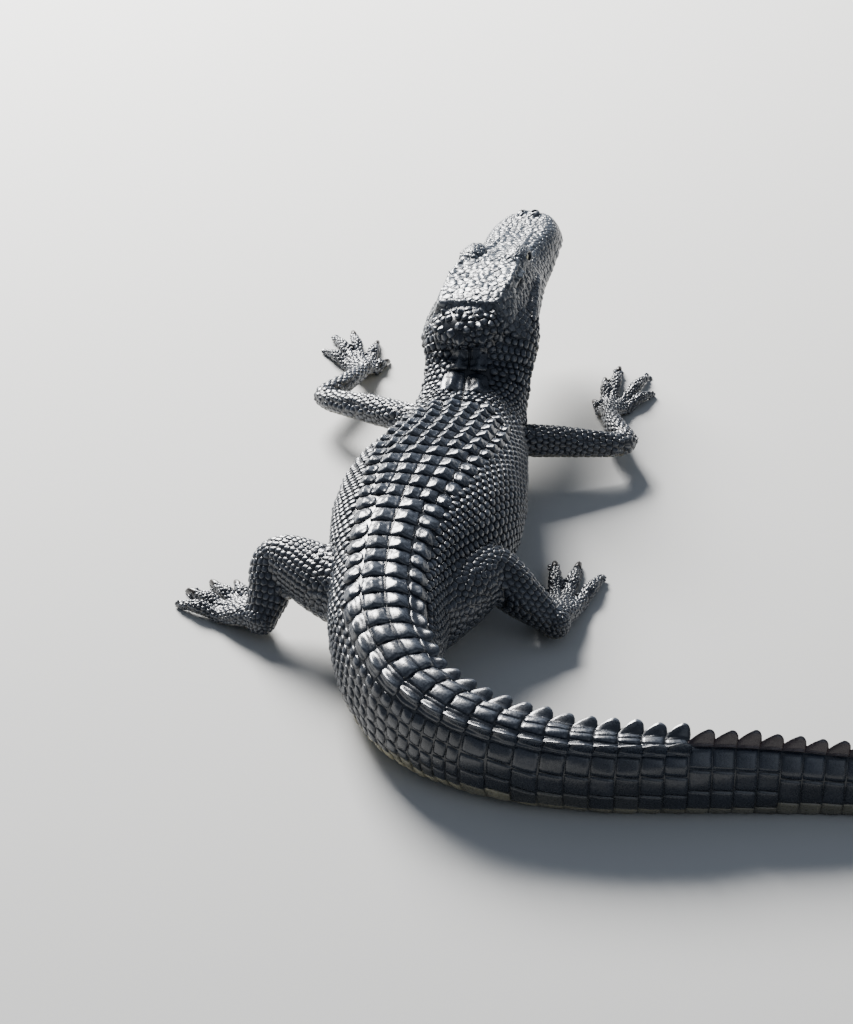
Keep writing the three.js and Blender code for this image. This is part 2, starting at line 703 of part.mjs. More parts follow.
const whorls = tailWhorls();
const tailNames = ['tail_base', 'tail_mid', 'tail_rear', 'tail_tip'];
const tailPlaces = [VENT, ...TAIL_CUTS, BODY.length - 1];
tailNames.forEach((name, n) => {
  const places = placesBetween(tailPlaces[n], tailPlaces[n + 1], 8 - n);
  const [near, far] = [lengthAt(places[0]), lengthAt(Math.min(tailPlaces[n + 1], BODY.length - 1.001))];
  const plates = whorls
    .filter((whorl) => whorl.length > near - WHORL_PITCH && whorl.length < far + WHORL_PITCH)
    .flatMap((whorl) => whorl.plates);
  add(name, bodyPiece(places, TAIL_SIDES, plates), HIDE);
});

// The limbs grow out of the trunk, so each root is cut to its skin a parting line off.
const rootPlaces = [...neckPlaces.slice(4), ...torsoPlaces, ...placesBetween(VENT, TAIL_CUTS[0], 8)];
const trunk = bodyLoft(rootPlaces, BODY_SIDES, GAP);
LIMBS.forEach((limb) => buildLimb(limb, trunk));

export default group;
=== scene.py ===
import math

import bpy
import numpy as np
from mathutils import Matrix, Vector
from mathutils.bvhtree import BVHTree
from mathutils.kdtree import KDTree


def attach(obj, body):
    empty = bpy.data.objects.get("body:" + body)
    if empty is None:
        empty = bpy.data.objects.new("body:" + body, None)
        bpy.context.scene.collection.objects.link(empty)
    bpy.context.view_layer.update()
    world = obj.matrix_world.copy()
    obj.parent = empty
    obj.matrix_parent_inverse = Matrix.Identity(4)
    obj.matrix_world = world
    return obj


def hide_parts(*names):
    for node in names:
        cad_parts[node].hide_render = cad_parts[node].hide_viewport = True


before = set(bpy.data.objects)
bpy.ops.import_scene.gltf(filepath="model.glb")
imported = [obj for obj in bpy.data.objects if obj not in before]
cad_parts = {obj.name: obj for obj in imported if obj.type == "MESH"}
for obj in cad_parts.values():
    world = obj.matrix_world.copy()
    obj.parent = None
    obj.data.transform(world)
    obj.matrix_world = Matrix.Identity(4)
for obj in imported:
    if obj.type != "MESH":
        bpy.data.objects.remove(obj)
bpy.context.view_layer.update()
MM = 0.001
rng = np.random.default_rng(1907)
print("frame", len(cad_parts), "nodes")

# %% [markdown]
# The camera comes first, because everything else is judged through it. It looks down on the back
# from behind the tail at thirty degrees, from about four and a half metres, with a long lens, so
# the body hardly narrows with distance.
# %% Camera
PHOTO_HIGH = 1024
FOCAL_PIXELS = 4200
VIEW_HEIGHT = math.radians(30)
VIEW_DISTANCE = 4.41
LOOKED_AT = Vector((0, 0.13, 0))

camera = bpy.data.objects.new("camera", bpy.data.cameras.new("camera"))
camera.data.sensor_fit = "VERTICAL"
camera.data.sensor_height = 36
camera.data.lens = 36 * FOCAL_PIXELS / PHOTO_HIGH
away = Vector((0, -math.cos(VIEW_HEIGHT), math.sin(VIEW_HEIGHT)))
camera.location = LOOKED_AT + VIEW_DISTANCE * away
camera.rotation_euler = (math.pi / 2 - VIEW_HEIGHT, 0, 0)
bpy.context.scene.collection.objects.link(camera)
bpy.context.scene.camera = camera
print("camera at", [round(c, 3) for c in camera.location])

# %% [markdown]
# A body is easiest to describe by a short list of sections. The table repeats the driving sizes of
# the solids, in millimetres: where the spine stands, how high the back and the belly are there, how
# wide the flesh is and how far the back leans.
# %% Sections of the body
# right, ahead, back, belly, width, lean
BODY = np.array([
    [63, 322, 168, 78, 118, -8], [59, 290, 158, 69, 121, -8], [55, 258, 130, 42, 112, -8],
    [46, 215, 111, 13, 118, -4], [35, 160, 109, -3, 144, 0], [22, 100, 121, -5, 168, 0],
    [11, 46, 131, -6, 185, -4], [3, 0, 137, -6, 188, -8], [-6, -43, 139, -6, 181, -9],
    [-17, -85, 139, -6, 162, -8], [-26, -125, 138, -6, 139, -6], [-33, -168, 134, -6, 123, -4],
    [-38, -214, 130, -5, 114, -2], [-37, -262, 124, -5, 101, -1], [-28, -306, 116, -4, 90, 0],
    [-7, -347, 107, -3, 81, 0], [34, -384, 97, -2, 70, 0], [90, -410, 89, -2, 61, 0],
    [150, -423, 83, -2, 54, 0], [220, -428, 78, -2, 47, 0], [300, -428, 73, -2, 40, 0],
    [390, -431, 66, -2, 33, 0], [480, -438, 57, -2, 26, 0], [570, -448, 46, -2, 19, 0],
    [650, -452, 33, -2, 13, 0], [715, -448, 21, -2, 8, 0], [745, -444, 12, -2, 5, 0],
], float)
NECK_ROOT = 3
VENT = 12.45
COAT_DEPTH = 1.0


print("sections of the body", len(BODY))

# %% [markdown]
# A living body has no corners. Straight pieces would show as facets, so a cubic spline runs through
# the rows and takes its slope at each row from the rows beside it.
# %% Between the sections
def between(rows, places):
    """A table of sections, read at any places between its rows by a smooth spline."""
    last = len(rows) - 1
    at = np.clip(np.asarray(places, float), 0, last)
    i = np.minimum(at.astype(int), last - 1)
    t = (at - i)[..., None]
    a, b, c, d = (rows[np.clip(i + k, 0, last)] for k in (-1, 0, 1, 2))
    slope_in, slope_out, rise = (c - a) / 2, (d - b) / 2, c - b
    bend = 3 * rise - 2 * slope_in - slope_out
    return b + t * (slope_in + t * (bend + t * (slope_in + slope_out - 2 * rise)))


def smoothstep(value, low, high):
    t = np.clip((np.asarray(value, float) - low) / (high - low), 0, 1)
    return t * t * (3 - 2 * t)


def unit(vectors):
    return vectors / np.maximum(np.linalg.norm(vectors, axis=-1, keepdims=True), 1e-9)


print("between two sections", between(BODY, [3.5])[0].round(1).tolist())

# %% [markdown]
# Cut across, the trunk is a flattened oval, and where the tail bends it leans. It could be
# sculpted, but a formula gives the skin at any place and angle, and the plates are laid out with it
# later.
# %% The skin of the trunk
def spine(places):
    row = between(BODY, places)
    return np.stack([row[..., 0], row[..., 1], (row[..., 2] + row[..., 3]) / 2], -1)


def body_section(places):
    """Middle, directions and half sizes of the body at each place."""
    places = np.asarray(places, float)
    row = between(BODY, places)
    ahead = unit(spine(np.maximum(places - 0.05, 0)) - spine(places + 0.05))
    right = unit(np.cross(ahead, [0.0, 0.0, 1.0]))
    up = np.cross(right, ahead)
    belly = 0.86 + 0.39 * smoothstep(places, VENT - 1, VENT + 4)
    tall = (row[..., 2] - row[..., 3]) / 2 * up[..., 2]
    return dict(middle=spine(places), ahead=ahead, right=right, up=up, belly=belly,
                half=row[..., 4] / 2, tall=tall, lean=row[..., 5])


def body_skin(places, angles, grow=0.0):
    """Points on the body: angle zero on the right flank, a quarter turn on the back."""
    section = body_section(places)
    c, s = np.cos(angles), np.sin(angles)
    full = np.where(s > 0, 0.86, section["belly"])
    across = np.sign(c) * np.abs(c) ** full * (section["half"] + grow)
    across = across + section["lean"] * np.maximum(0, s)
    upward = np.sign(s) * np.abs(s) ** 0.86 * (section["tall"] + grow)
    return section["middle"] + across[..., None] * section["right"] + upward[..., None] * section["up"]


def lengths_along(path):
    """How far each point of a path is from its start."""
    return np.concatenate([[0], np.cumsum(np.linalg.norm(np.diff(path, axis=0), axis=1))])


SPINE_STEPS = 60
spine_places = np.linspace(0, len(BODY) - 1, (len(BODY) - 1) * SPINE_STEPS + 1)
spine_lengths = lengths_along(spine(spine_places))


def place_at(length):
    return np.interp(length, spine_lengths, spine_places)


def length_at(place):
    return np.interp(place, spine_places, spine_lengths)


print("body from nape to tail tip", round(spine_lengths[-1]), "mm")

# %% [markdown]
# The head is the part that people look at first. It stands in a frame of its own, with the nape at
# the origin and the snout along +Y, and all its sizes are shares of its length. Each section runs
# from the lip up the cheek to the flat top, and the narrower lower jaw hangs below the same wavy
# mouth line.
# %% Sections of the head
HEAD_LENGTH = 255
NAPE = Vector((54, 300, 119))
HEAD_TURNS = ((-15.5, "Z"), (1.5, "X"), (-7, "Y"))
frame_of_head = Matrix.Translation(NAPE)
for degrees, axis in HEAD_TURNS:
    frame_of_head = frame_of_head @ Matrix.Rotation(math.radians(degrees), 4, axis)
HEAD_FRAME = np.array(frame_of_head)
# along, lip, flat top, top, mouth, how full the side is, jaw, underside
HEAD = np.array([
    [-0.10, 0.235, 0.112, 0.184, -0.034, 0.60, 0.222, -0.160],
    [0.00, 0.240, 0.134, 0.202, -0.030, 0.54, 0.226, -0.158],
    [0.07, 0.238, 0.138, 0.206, -0.022, 0.50, 0.222, -0.150],
    [0.17, 0.230, 0.136, 0.206, -0.002, 0.48, 0.212, -0.138],
    [0.28, 0.217, 0.130, 0.203, 0.014, 0.52, 0.200, -0.126],
    [0.38, 0.202, 0.106, 0.190, 0.018, 0.62, 0.187, -0.116],
    [0.47, 0.188, 0.082, 0.166, 0.010, 0.70, 0.174, -0.108],
    [0.56, 0.179, 0.096, 0.138, -0.006, 0.74, 0.165, -0.102],
    [0.66, 0.172, 0.106, 0.122, -0.008, 0.80, 0.159, -0.098],
    [0.76, 0.169, 0.108, 0.113, 0.002, 0.84, 0.156, -0.094],
    [0.85, 0.161, 0.100, 0.110, 0.004, 0.86, 0.147, -0.090],
    [0.92, 0.142, 0.080, 0.108, -0.004, 0.86, 0.127, -0.080],
    [0.962, 0.116, 0.058, 0.098, -0.006, 0.84, 0.099, -0.068],
    [0.988, 0.082, 0.038, 0.078, -0.002, 0.82, 0.064, -0.050],
    [1.00, 0.042, 0.018, 0.050, 0.004, 0.80, 0.026, -0.026],
])
# the middle and the radius of an eyeball
EYE = dict(x=0.110, y=0.385, z=0.178, radius=0.036)


print("head", HEAD_LENGTH, "mm long")

# %% [markdown]
# From the lip the cheek climbs in one curve to the flat skull. One control point is enough for it:
# pushed out it makes a full cheek, drawn in a tight snout.
# %% A section of the head
def head_point(local):
    """Shares of the head's length, turned into millimetres in the room."""
    local = np.asarray(local, float) * HEAD_LENGTH
    return local @ HEAD_FRAME[:3, :3].T + HEAD_FRAME[:3, 3]


def head_local(points):
    return (np.asarray(points, float) - HEAD_FRAME[:3, 3]) @ HEAD_FRAME[:3, :3] / HEAD_LENGTH


def from_eye(local, outward=0.0):
    """How far points of the head are from the middle of the nearer eye."""
    side = np.abs(local[:, 0]) - EYE["x"] - outward
    return np.linalg.norm(np.stack([side, local[:, 1] - EYE["y"], local[:, 2] - EYE["z"]], 1), axis=1)


def head_half(lip, flat, top, mouth, full, steps):
    """One half of a head section, from the middle of the mouth round the cheek to the top."""
    corner = (flat + (lip - flat) * full, mouth + (top - mouth) * full)
    t = np.linspace(0, 1, steps)
    x = lip * (1 - t) ** 2 + corner[0] * 2 * t * (1 - t) + flat * t * t
    z = mouth * (1 - t) ** 2 + corner[1] * 2 * t * (1 - t) + top * t * t
    x = np.concatenate([[0, lip * 0.5], x, [flat * 0.66, flat * 0.33, 0]])
    z = np.concatenate([[mouth, mouth], z, [top + 0.0015, top + 0.0025, top + 0.003]])
    return x, z


def head_rings(lower, count=150, steps=20):
    rings = []
    for row in between(HEAD, np.linspace(0.45, len(HEAD) - 1, count)):
        along, lip, flat, top, mouth, full, jaw, under = row
        if lower:
            x, z = head_half(jaw, jaw * 0.6, under, mouth, 0.82, steps)
        else:
            x, z = head_half(lip, flat, top, mouth, full, steps)
        x, z = np.concatenate([x, -x[-2:0:-1]]), np.concatenate([z, z[-2:0:-1]])
        rings.append(head_point(np.stack([x, np.full_like(x, along), z], 1)))
    return np.array(rings)


print("head sections", len(HEAD))

# %% [markdown]
# The limbs grow out of the trunk, low and sprawling. Each is a path through root, elbow or knee,
# and wrist or heel, and the digits fan out from there to the points where they touch the floor. The
# thickness swells where the muscles are.
# %% Sections of the limbs
# joints from root to wrist or heel, half sizes there and of the palm, and where the digits end
LIMBS = [
    dict(side="left", names=("upper_arm", "forearm", "hand"),
         joints=[(4, 202, 66), (-110, 312, 38), (-68, 418, 17)], thick=(17, 11, 9, 9),
         tips=[(-40, 466), (-54, 512), (-84, 536), (-104, 520), (-114, 486)]),
    dict(side="right", names=("upper_arm", "forearm", "hand"),
         joints=[(66, 176, 62), (209, 216, 34), (197, 320, 17)], thick=(18, 12, 9, 9),
         tips=[(182, 372), (198, 424), (216, 450), (246, 426), (250, 386)]),
    dict(side="left", names=("thigh", "shank", "foot"),
         joints=[(-56, -152, 62), (-146, -86, 70), (-164, -122, 23)], thick=(42, 24, 17, 15),
         tips=[(-196, -14), (-222, -14), (-246, -32), (-252, -62)]),
    dict(side="right", names=("thigh", "shank", "foot"),
         joints=[(-2, -166, 60), (62, -104, 67), (128, -132, 23)], thick=(46, 28, 16, 15),
         tips=[(106, -8), (132, 24), (158, 22), (180, -10)]),
]
DIGIT_THICK = dict(hand=6.0, foot=7.2)
CLAW_LONG = dict(hand=15, foot=18)
CLAWED_DIGITS = 3


print("limbs", len(LIMBS))

# %% [markdown]
# Limbs, digits, lids and bony ridges are tubes of changing thickness. Blender's curves would turn
# their sections as they bend; here each section keeps one side level, as a limb that rests on the
# floor does.
# %% Tubes along a path
def tube_frames(path):
    """Directions along a path: ahead, to the right and up."""
    ahead = unit(np.gradient(path, axis=0))
    right = unit(np.cross(ahead, [0.0, 0.0, 1.0]))
    return ahead, right, np.cross(right, ahead)


def tube_rings(path, wide, tall, sides=26):
    """Oval rings round a path, for a loft."""
    _, right, up = tube_frames(path)
    turn = np.linspace(0, 2 * math.pi, sides, endpoint=False)
    c, s = np.cos(turn)[None, :, None], np.sin(turn)[None, :, None]
    return (path[:, None] + c * right[:, None] * np.asarray(wide)[:, None, None]
            + s * up[:, None] * np.asarray(tall)[:, None, None])


print("sides of a tube", tube_rings(spine([0.0, 1.0, 2.0]), [9] * 3, [9] * 3).shape[1])

# %% [markdown]
# A limb is thickest at the muscle between two joints. A digit starts inside the wrist, climbs over
# its knuckle and comes down to the floor. A few stops with a place and a size each are enough for
# both.
# %% Paths of limbs and digits
def limb_path(limb):
    """Path, half width and half height of a limb from its root to the wrist or heel."""
    root, elbow, wrist = np.array(limb["joints"], float)
    a, b, c, _ = limb["thick"]
    stops = np.array([root, root + (elbow - root) * 0.5, elbow, elbow + (wrist - elbow) * 0.5, wrist])
    fore = limb["names"][2] == "hand"
    middle_upper = (a + b) / 2 + (3 if fore else 4)
    calf = (b + c) / 2 + (1.8 if fore else 3)
    size = np.array([a, middle_upper, b * 1.08, calf, c])
    table = np.column_stack([stops, size])
    rows = between(table, np.linspace(0, 4, 60))
    flat = np.interp(np.linspace(0, 4, 60), [0, 2, 4], [0.95, 0.92, 0.8])
    return rows[:, :3], rows[:, 3], rows[:, 3] * flat


def digit_path(limb, n):
    """Path and half sizes of one digit, from inside the wrist over the knuckle to the claw."""
    wrist = np.array(limb["joints"][2], float)
    elbow = np.array(limb["joints"][1], float)
    kind = limb["names"][2]
    thick = DIGIT_THICK[kind]
    tip = np.array([*limb["tips"][n], thick * 0.6])
    palm = wrist + (tip - wrist) * (0.5 if kind == "foot" else 0.42)
    palm[2] = limb["thick"][3] * 0.55
    way = unit((tip - palm) * [1, 1, 0])
    end = tip - way * (CLAW_LONG[kind] if n < CLAWED_DIGITS else 4)
    middle = palm + (end - palm) * 0.5
    middle[2] = thick * 1.35
    inside = wrist + unit(elbow - wrist) * 4
    stops = np.array([inside, inside + (palm - inside) * 0.6, palm, middle, end])
    wide = limb["thick"][2] * 0.94
    size = np.array([wide, wide * 0.78, thick * 1.06, thick * 0.98, thick * 0.74])
    flat = np.array([0.85, 0.8, 0.95, 0.96, 1.0])
    rows = between(np.column_stack([stops, size, size * flat]), np.linspace(0, 4, 44))
    share = np.linspace(0, 4, 44)
    joint = 1 + 0.08 * np.cos((share - 2) * 2 * math.pi) * (share > 1.7)
    return rows[:, :3], rows[:, 3] * joint, rows[:, 4] * joint, way, end


print("limbs", len(LIMBS), "digits", sum(len(limb["tips"]) for limb in LIMBS))

# %% [markdown]
# A loft joins its rings into one closed body. Blender has no operator that lofts through hundreds
# of computed rings, so this small helper writes the faces straight into a mesh. Everything else
# starts from it.
# %% Lofts and meshes


def put_mesh(name, points, faces):
    """A mesh object from points in millimetres."""
    mesh = bpy.data.meshes.new(name)
    mesh.from_pydata((np.asarray(points) * MM).tolist(), [], [list(map(int, f)) for f in faces])
    mesh.update()
    piece = bpy.data.objects.new(name, mesh)
    bpy.context.scene.collection.objects.link(piece)
    return piece


def loft(rings):
    """Points and faces of a closed body through rings of equally many points."""
    count, sides = rings.shape[:2]
    grid = np.arange(count * sides).reshape(count, sides)
    after = np.roll(grid, -1, axis=1)
    walls = np.stack([grid[:-1], after[:-1], after[1:], grid[1:]], -1).reshape(-1, 4)
    faces = [*walls.tolist(), grid[0, ::-1].tolist(), grid[-1].tolist()]
    points = rings.reshape(-1, 3)
    a, b, c, d = (points[walls[:, k]] - points.mean(0) for k in range(4))
    if ((a * np.cross(b, c)).sum() + (a * np.cross(c, d)).sum()) < 0:
        faces = [f[::-1] for f in faces]
    return points, faces


def globe(rings, sides, pole):
    """Rings of points on a ball of radius one, open by a small angle at the poles."""
    up = np.linspace(pole, math.pi - pole, rings)[:, None]
    turn = np.linspace(0, 2 * math.pi, sides, endpoint=False)[None]
    return np.stack([np.sin(up) * np.cos(turn), np.sin(up) * np.sin(turn), np.cos(up) + 0 * turn], -1)


def ball(centre, radii, turned=None):
    """An ellipsoid as points and faces, in the head's own frame."""
    shape = globe(24, 36, 0.02) * np.asarray(radii)
    if turned is not None:
        shape = shape @ np.array(turned.to_matrix()).T
    return loft(head_point(shape + np.asarray(centre)))


def gather(parts):
    """Several bodies as one list of points and faces."""
    points, faces, start = [], [], 0
    for part_points, part_faces in parts:
        points.append(part_points)
        faces.extend([[v + start for v in face] for face in part_faces])
        start += len(part_points)
    return np.concatenate(points), faces


print("lofts ready")

# %% [markdown]
# An alligator's lids are thick rims on a dome of their own. The flesh is too coarse to sculpt them
# in, so a ring of small circles follows the dome round the opening and is melted into it with the
# rest.
# %% Eyelids


def lid_margin(hand, radius=0.0050):
    """The thick edge of the eyelids, a ring that follows the dome round the opening."""
    turn = np.linspace(0, 2 * math.pi, 40, endpoint=False)
    y = EYE["y"] + 0.035 * np.cos(turn)
    z = 0.183 + 0.0185 * np.sin(turn) - 0.004 * np.cos(turn)
    dome = np.clip(1 - ((y - EYE["y"]) / 0.09) ** 2 - ((z - 0.175) / 0.049) ** 2, 0.02, 1)
    path = np.stack([hand * (EYE["x"] - 0.014 + 0.056 * np.sqrt(dome)), y, z], 1)
    out = unit(path - [hand * 0.09, EYE["y"], 0.182])
    other = unit(np.cross(out, np.roll(path, -1, 0) - path))
    spokes = np.linspace(0, 2 * math.pi, 10, endpoint=False)
    rings = (path[:, None] + radius * (np.cos(spokes)[None, :, None] * out[:, None]
             + np.sin(spokes)[None, :, None] * other[:, None]))
    grid = np.arange(400).reshape(40, 10)
    walls = np.stack([grid, np.roll(grid, -1, 1), np.roll(np.roll(grid, -1, 1), -1, 0),
                      np.roll(grid, -1, 0)], -1).reshape(-1, 4)
    return head_point(rings.reshape(-1, 3)), walls.tolist()


print("lid margin of", len(lid_margin(1)[0]), "points")

# %% [markdown]
# Under the skin of the head lie the domes of the eyes, the rims of the skull table, the ear flaps,
# the cheek bones, the jowls, the ridges of the snout and the nostril mound. Overlapping balls and
# tubes are quick to place and easy to move.
# %% Forms of the head
def head_ridge(points, sizes):
    """A low ridge of bone under the skin, from one point of the head to another."""
    rows = between(np.column_stack([points, sizes]), np.linspace(0, len(points) - 1, 40))
    path = head_point(rows[:, :3])
    return loft(tube_rings(path, rows[:, 3] * HEAD_LENGTH, rows[:, 3] * HEAD_LENGTH, 14))


def head_forms():
    forms = [loft(head_rings(False)), loft(head_rings(True))]
    # the mound of the nostrils, the root of the neck and the muscle behind the skull table
    forms.append(ball((0, 0.918, 0.094), (0.066, 0.054, 0.027)))
    forms.append(ball((0, -0.05, 0.01), (0.175, 0.15, 0.140)))
    forms.append(ball((0, -0.085, 0.092), (0.160, 0.130, 0.084)))
    for hand in (-1, 1):
        # the dome of the eye with its lids, then the rim of the skull table
        forms.append(ball((hand * (EYE["x"] - 0.013), EYE["y"], 0.175), (0.056, 0.090, 0.049)))
        forms.append(lid_margin(hand))
        forms.append(head_ridge([(hand * 0.100, -0.02, 0.184), (hand * 0.124, 0.03, 0.192),
                                 (hand * 0.132, 0.14, 0.195), (hand * 0.124, 0.27, 0.195),
                                 (hand * 0.112, 0.36, 0.194)], [0.008, 0.014, 0.015, 0.015, 0.016]))
        # the ear flap, the jowl and the cheek bone
        forms.append(ball((hand * 0.141, 0.2, 0.176), (0.021, 0.084, 0.013)))
        forms.append(ball((hand * 0.140, 0.02, -0.080), (0.092, 0.17, 0.075)))
        forms.append(head_ridge([(hand * 0.146, 0.47, 0.058), (hand * 0.168, 0.38, 0.066),
                                 (hand * 0.190, 0.24, 0.056), (hand * 0.206, 0.10, 0.026),
                                 (hand * 0.202, -0.04, -0.004)], [0.014, 0.024, 0.028, 0.036, 0.038]))
        # the ridge of the snout and the rim of the nostril
        forms.append(head_ridge([(hand * 0.078, 0.45, 0.166), (hand * 0.066, 0.56, 0.132),
                                 (hand * 0.06, 0.70, 0.110), (hand * 0.05, 0.84, 0.101)],
                                [0.018, 0.015, 0.013, 0.012]))
        forms.append(ball((hand * 0.027, 0.926, 0.114), (0.024, 0.030, 0.014)))
    return forms


print("forms of the head", len(head_forms()))

# %% [markdown]
# Limbs and digits are tubes with balls in their ends, and a thin sagging sheet is the web between
# the hind toes. They run deep into each other, because only what overlaps can melt into one skin.
# %% Forms of the limbs
def sphere(centre, radius):
    return loft(globe(14, 22, 0.05) * radius + np.asarray(centre))


def web(limb, n, thick=3.4):
    """The web between two toes, a thin sheet that sags between them."""
    wrist = np.array(limb["joints"][2], float)
    wrist[2] = 8
    ends = [np.array([*limb["tips"][k], 5.0]) for k in (n - 1, n)]
    a, b = (wrist + (end - wrist) * 0.78 for end in ends)
    a[2] = b[2] = 6
    rings = []
    for t in np.linspace(0, 1, 9):
        rim = a + (b - a) * t
        rim = rim + (wrist - rim) * (0.34 * math.sin(math.pi * t))
        rows = wrist + (rim - wrist) * np.linspace(0, 1, 12)[:, None]
        rows[:, 2] -= 1.5 * math.sin(math.pi * t)
        rings.append(np.concatenate([rows + [0, 0, thick / 2], rows[::-1] - [0, 0, thick / 2]]))
    return loft(np.array(rings))


def limb_forms():
    forms = []
    for limb in LIMBS:
        path, wide, tall = limb_path(limb)
        forms.append(loft(tube_rings(path, wide - COAT_DEPTH, tall - COAT_DEPTH)))
        for centre, size in ((path[0], wide[0]), (path[-1], wide[-1])):
            forms.append(sphere(centre, size - COAT_DEPTH))
        for n in range(len(limb["tips"])):
            path, wide, tall, way, _ = digit_path(limb, n)
            bare = 0 if n < CLAWED_DIGITS else 0.3
            taper = 1 - bare * smoothstep(np.linspace(0, 1, len(wide)), 0.85, 1.0)
            forms.append(loft(tube_rings(path, (wide - 0.5) * taper, (tall - 0.5) * taper, 18)))
            forms.append(sphere(path[-1], (tall[-1] - 0.5) * taper[-1]))
            forms.append(sphere(path[-1] + way * 2.2 - [0, 0, 0.6], tall[-1] * 0.62))
        if limb["names"][2] == "foot":
            forms.extend(web(limb, n) for n in range(1, len(limb["tips"])))
    return forms


print("forms of the limbs", len(limb_forms()))

# %% [markdown]
# Under the hide the animal is one mass of flesh. Its bodies overlap freely, because a voxel remesh
# then melts them into one skin. A union would leave a sharp seam at each joint, and metaballs would
# lose the planned sizes.
# %% The flesh under the hide
RING_STEP = 4.0
RING_SIDES = 120
trunk_places = place_at(np.arange(0, spine_lengths[-1], RING_STEP))
turns = np.linspace(0, 2 * math.pi, RING_SIDES, endpoint=False)
trunk_rings = body_skin(np.repeat(trunk_places[:, None], RING_SIDES, 1),
                        np.repeat(turns[None], len(trunk_places), 0), -COAT_DEPTH)
flesh = put_mesh("hide", *gather([loft(trunk_rings), *head_forms(), *limb_forms()]))
print("flesh from", len(flesh.data.vertices), "points")

# %% [markdown]
# One voxel size has to serve a wide trunk and lids as thin as a coin. The trick is to look at the
# flesh through a lens: space is drawn out round the head, the hands and the feet, remeshed evenly
# and shrunk back, which leaves a finer mesh there.
# %% Lenses for the remesh
VOXEL = 4.8
# each lens: its middle, its radius and how many times it enlarges
LENSES = [(head_point([0, 0.47, 0.05]), 150, 2.5)]
for limb in LIMBS:
    reach = np.array([[*tip, 6] for tip in limb["tips"]]).mean(0)
    LENSES.append(((reach + np.array(limb["joints"][2])) / 2, 66, 2.2))
LENSES.extend((head_point([hand * (EYE["x"] + 0.021), EYE["y"], 0.182]), 38, 1.9) for hand in (-1, 1))
LENSES.append((head_point([0, 0.932, 0.11]), 36, 1.5))


def draw_out(points, centre, radius, power):
    offset = points - centre
    far = np.linalg.norm(offset, axis=-1, keepdims=True) + 1e-9
    return centre + offset / far * np.where(far < radius, far * power, far + (power - 1) * radius)


def shrink_back(points, centre, radius, power):
    offset = points - centre
    far = np.linalg.norm(offset, axis=-1, keepdims=True) + 1e-9
    return centre + offset / far * np.where(far < radius * power, far / power, far - (power - 1) * radius)


print("lenses", len(LENSES))

# %% [markdown]
# Blender hands over all points of a mesh as one list, far faster than a loop over vertices. Plain
# smoothing would shrink lids and digits, so each round moves the points towards their neighbours
# and then about as far back.
# %% Reading and smoothing meshes
def read_rows(items, name, wide, kind=float):
    """One property of all points, edges or faces, as rows of numbers."""
    numbers = np.empty(len(items) * wide, kind)
    items.foreach_get(name, numbers)
    return numbers.reshape(-1, wide)


def read_points(piece):
    return read_rows(piece.data.vertices, "co", 3) / MM


def write_points(piece, points):
    piece.data.vertices.foreach_set("co", (np.asarray(points) * MM).ravel())
    piece.data.update()


def read_normals(piece):
    return read_rows(piece.data.vertex_normals, "vector", 3)


def apply_all(piece):
    bpy.ops.object.select_all(action="DESELECT")
    piece.select_set(True)
    bpy.context.view_layer.objects.active = piece
    for modifier in list(piece.modifiers):
        bpy.ops.object.modifier_apply(modifier=modifier.name)


def relax(points, edges, rounds, weight=1.0, shrink=0.5, swell=-0.52):
    """Evens a mesh out without letting it shrink."""
    a, b = edges.T
    count = np.bincount(np.concatenate([a, b]), minlength=len(points))[:, None]
    weight = np.broadcast_to(np.asarray(weight, float), (len(points),))[:, None]
    for _ in range(rounds):
        for step in (shrink, swell):
            total = np.stack([np.bincount(a, points[b, k], len(points))
                              + np.bincount(b, points[a, k], len(points)) for k in range(3)], 1)
            points = points + weight * step * (total / count - points)
    return points


def read_edges(piece):
    return read_rows(piece.data.edges, "vertices", 2, int)


print("flesh in millimetres", np.ptp(read_points(flesh), axis=0).round().tolist())

# %% [markdown]
# The flesh is drawn out, remeshed, evened and shrunk back. It rides on the one body of the frame
# and takes the place of all solids but the eyes and the claws.
# %% One seamless skin
points, moved = read_points(flesh), []
for centre, radius, power in LENSES:
    for lens in moved:
        centre = draw_out(centre[None], *lens)[0]
    moved.append((centre, radius, power))
    points = draw_out(points, *moved[-1])
write_points(flesh, points)
voxels = flesh.modifiers.new("voxels", "REMESH")
voxels.mode = "VOXEL"
voxels.voxel_size = VOXEL * MM
apply_all(flesh)
points = relax(read_points(flesh), read_edges(flesh), 4)
for lens in reversed(moved):
    points = shrink_back(points, *lens)
write_points(flesh, points)
print("skin of", len(points), "points and", len(flesh.data.polygons), "faces")

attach(flesh, "root")
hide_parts(*[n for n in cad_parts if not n.startswith(("eye_", "claw_"))])

# %% [markdown]
# To dress the hide, every point of it has to know where it is: on which part of the body, how far
# along that part, and how far round it. Landmarks are set along the middle of the body, the head,
# each limb and each digit, and a point belongs to the landmark whose oval section it lies closest
# to.
# %% Landmarks
BODY_PART, HEAD_PART, FIRST_LIMB = 0, 1, 2


def tube_landmarks(part, path, wide, tall, along, lie):
    _, right, up = tube_frames(path)
    n = len(path)
    return dict(middle=path, right=right, up=up, lie=lie, half=np.asarray(wide), tall=np.asarray(tall),
                along=along, part=np.full(n, part))


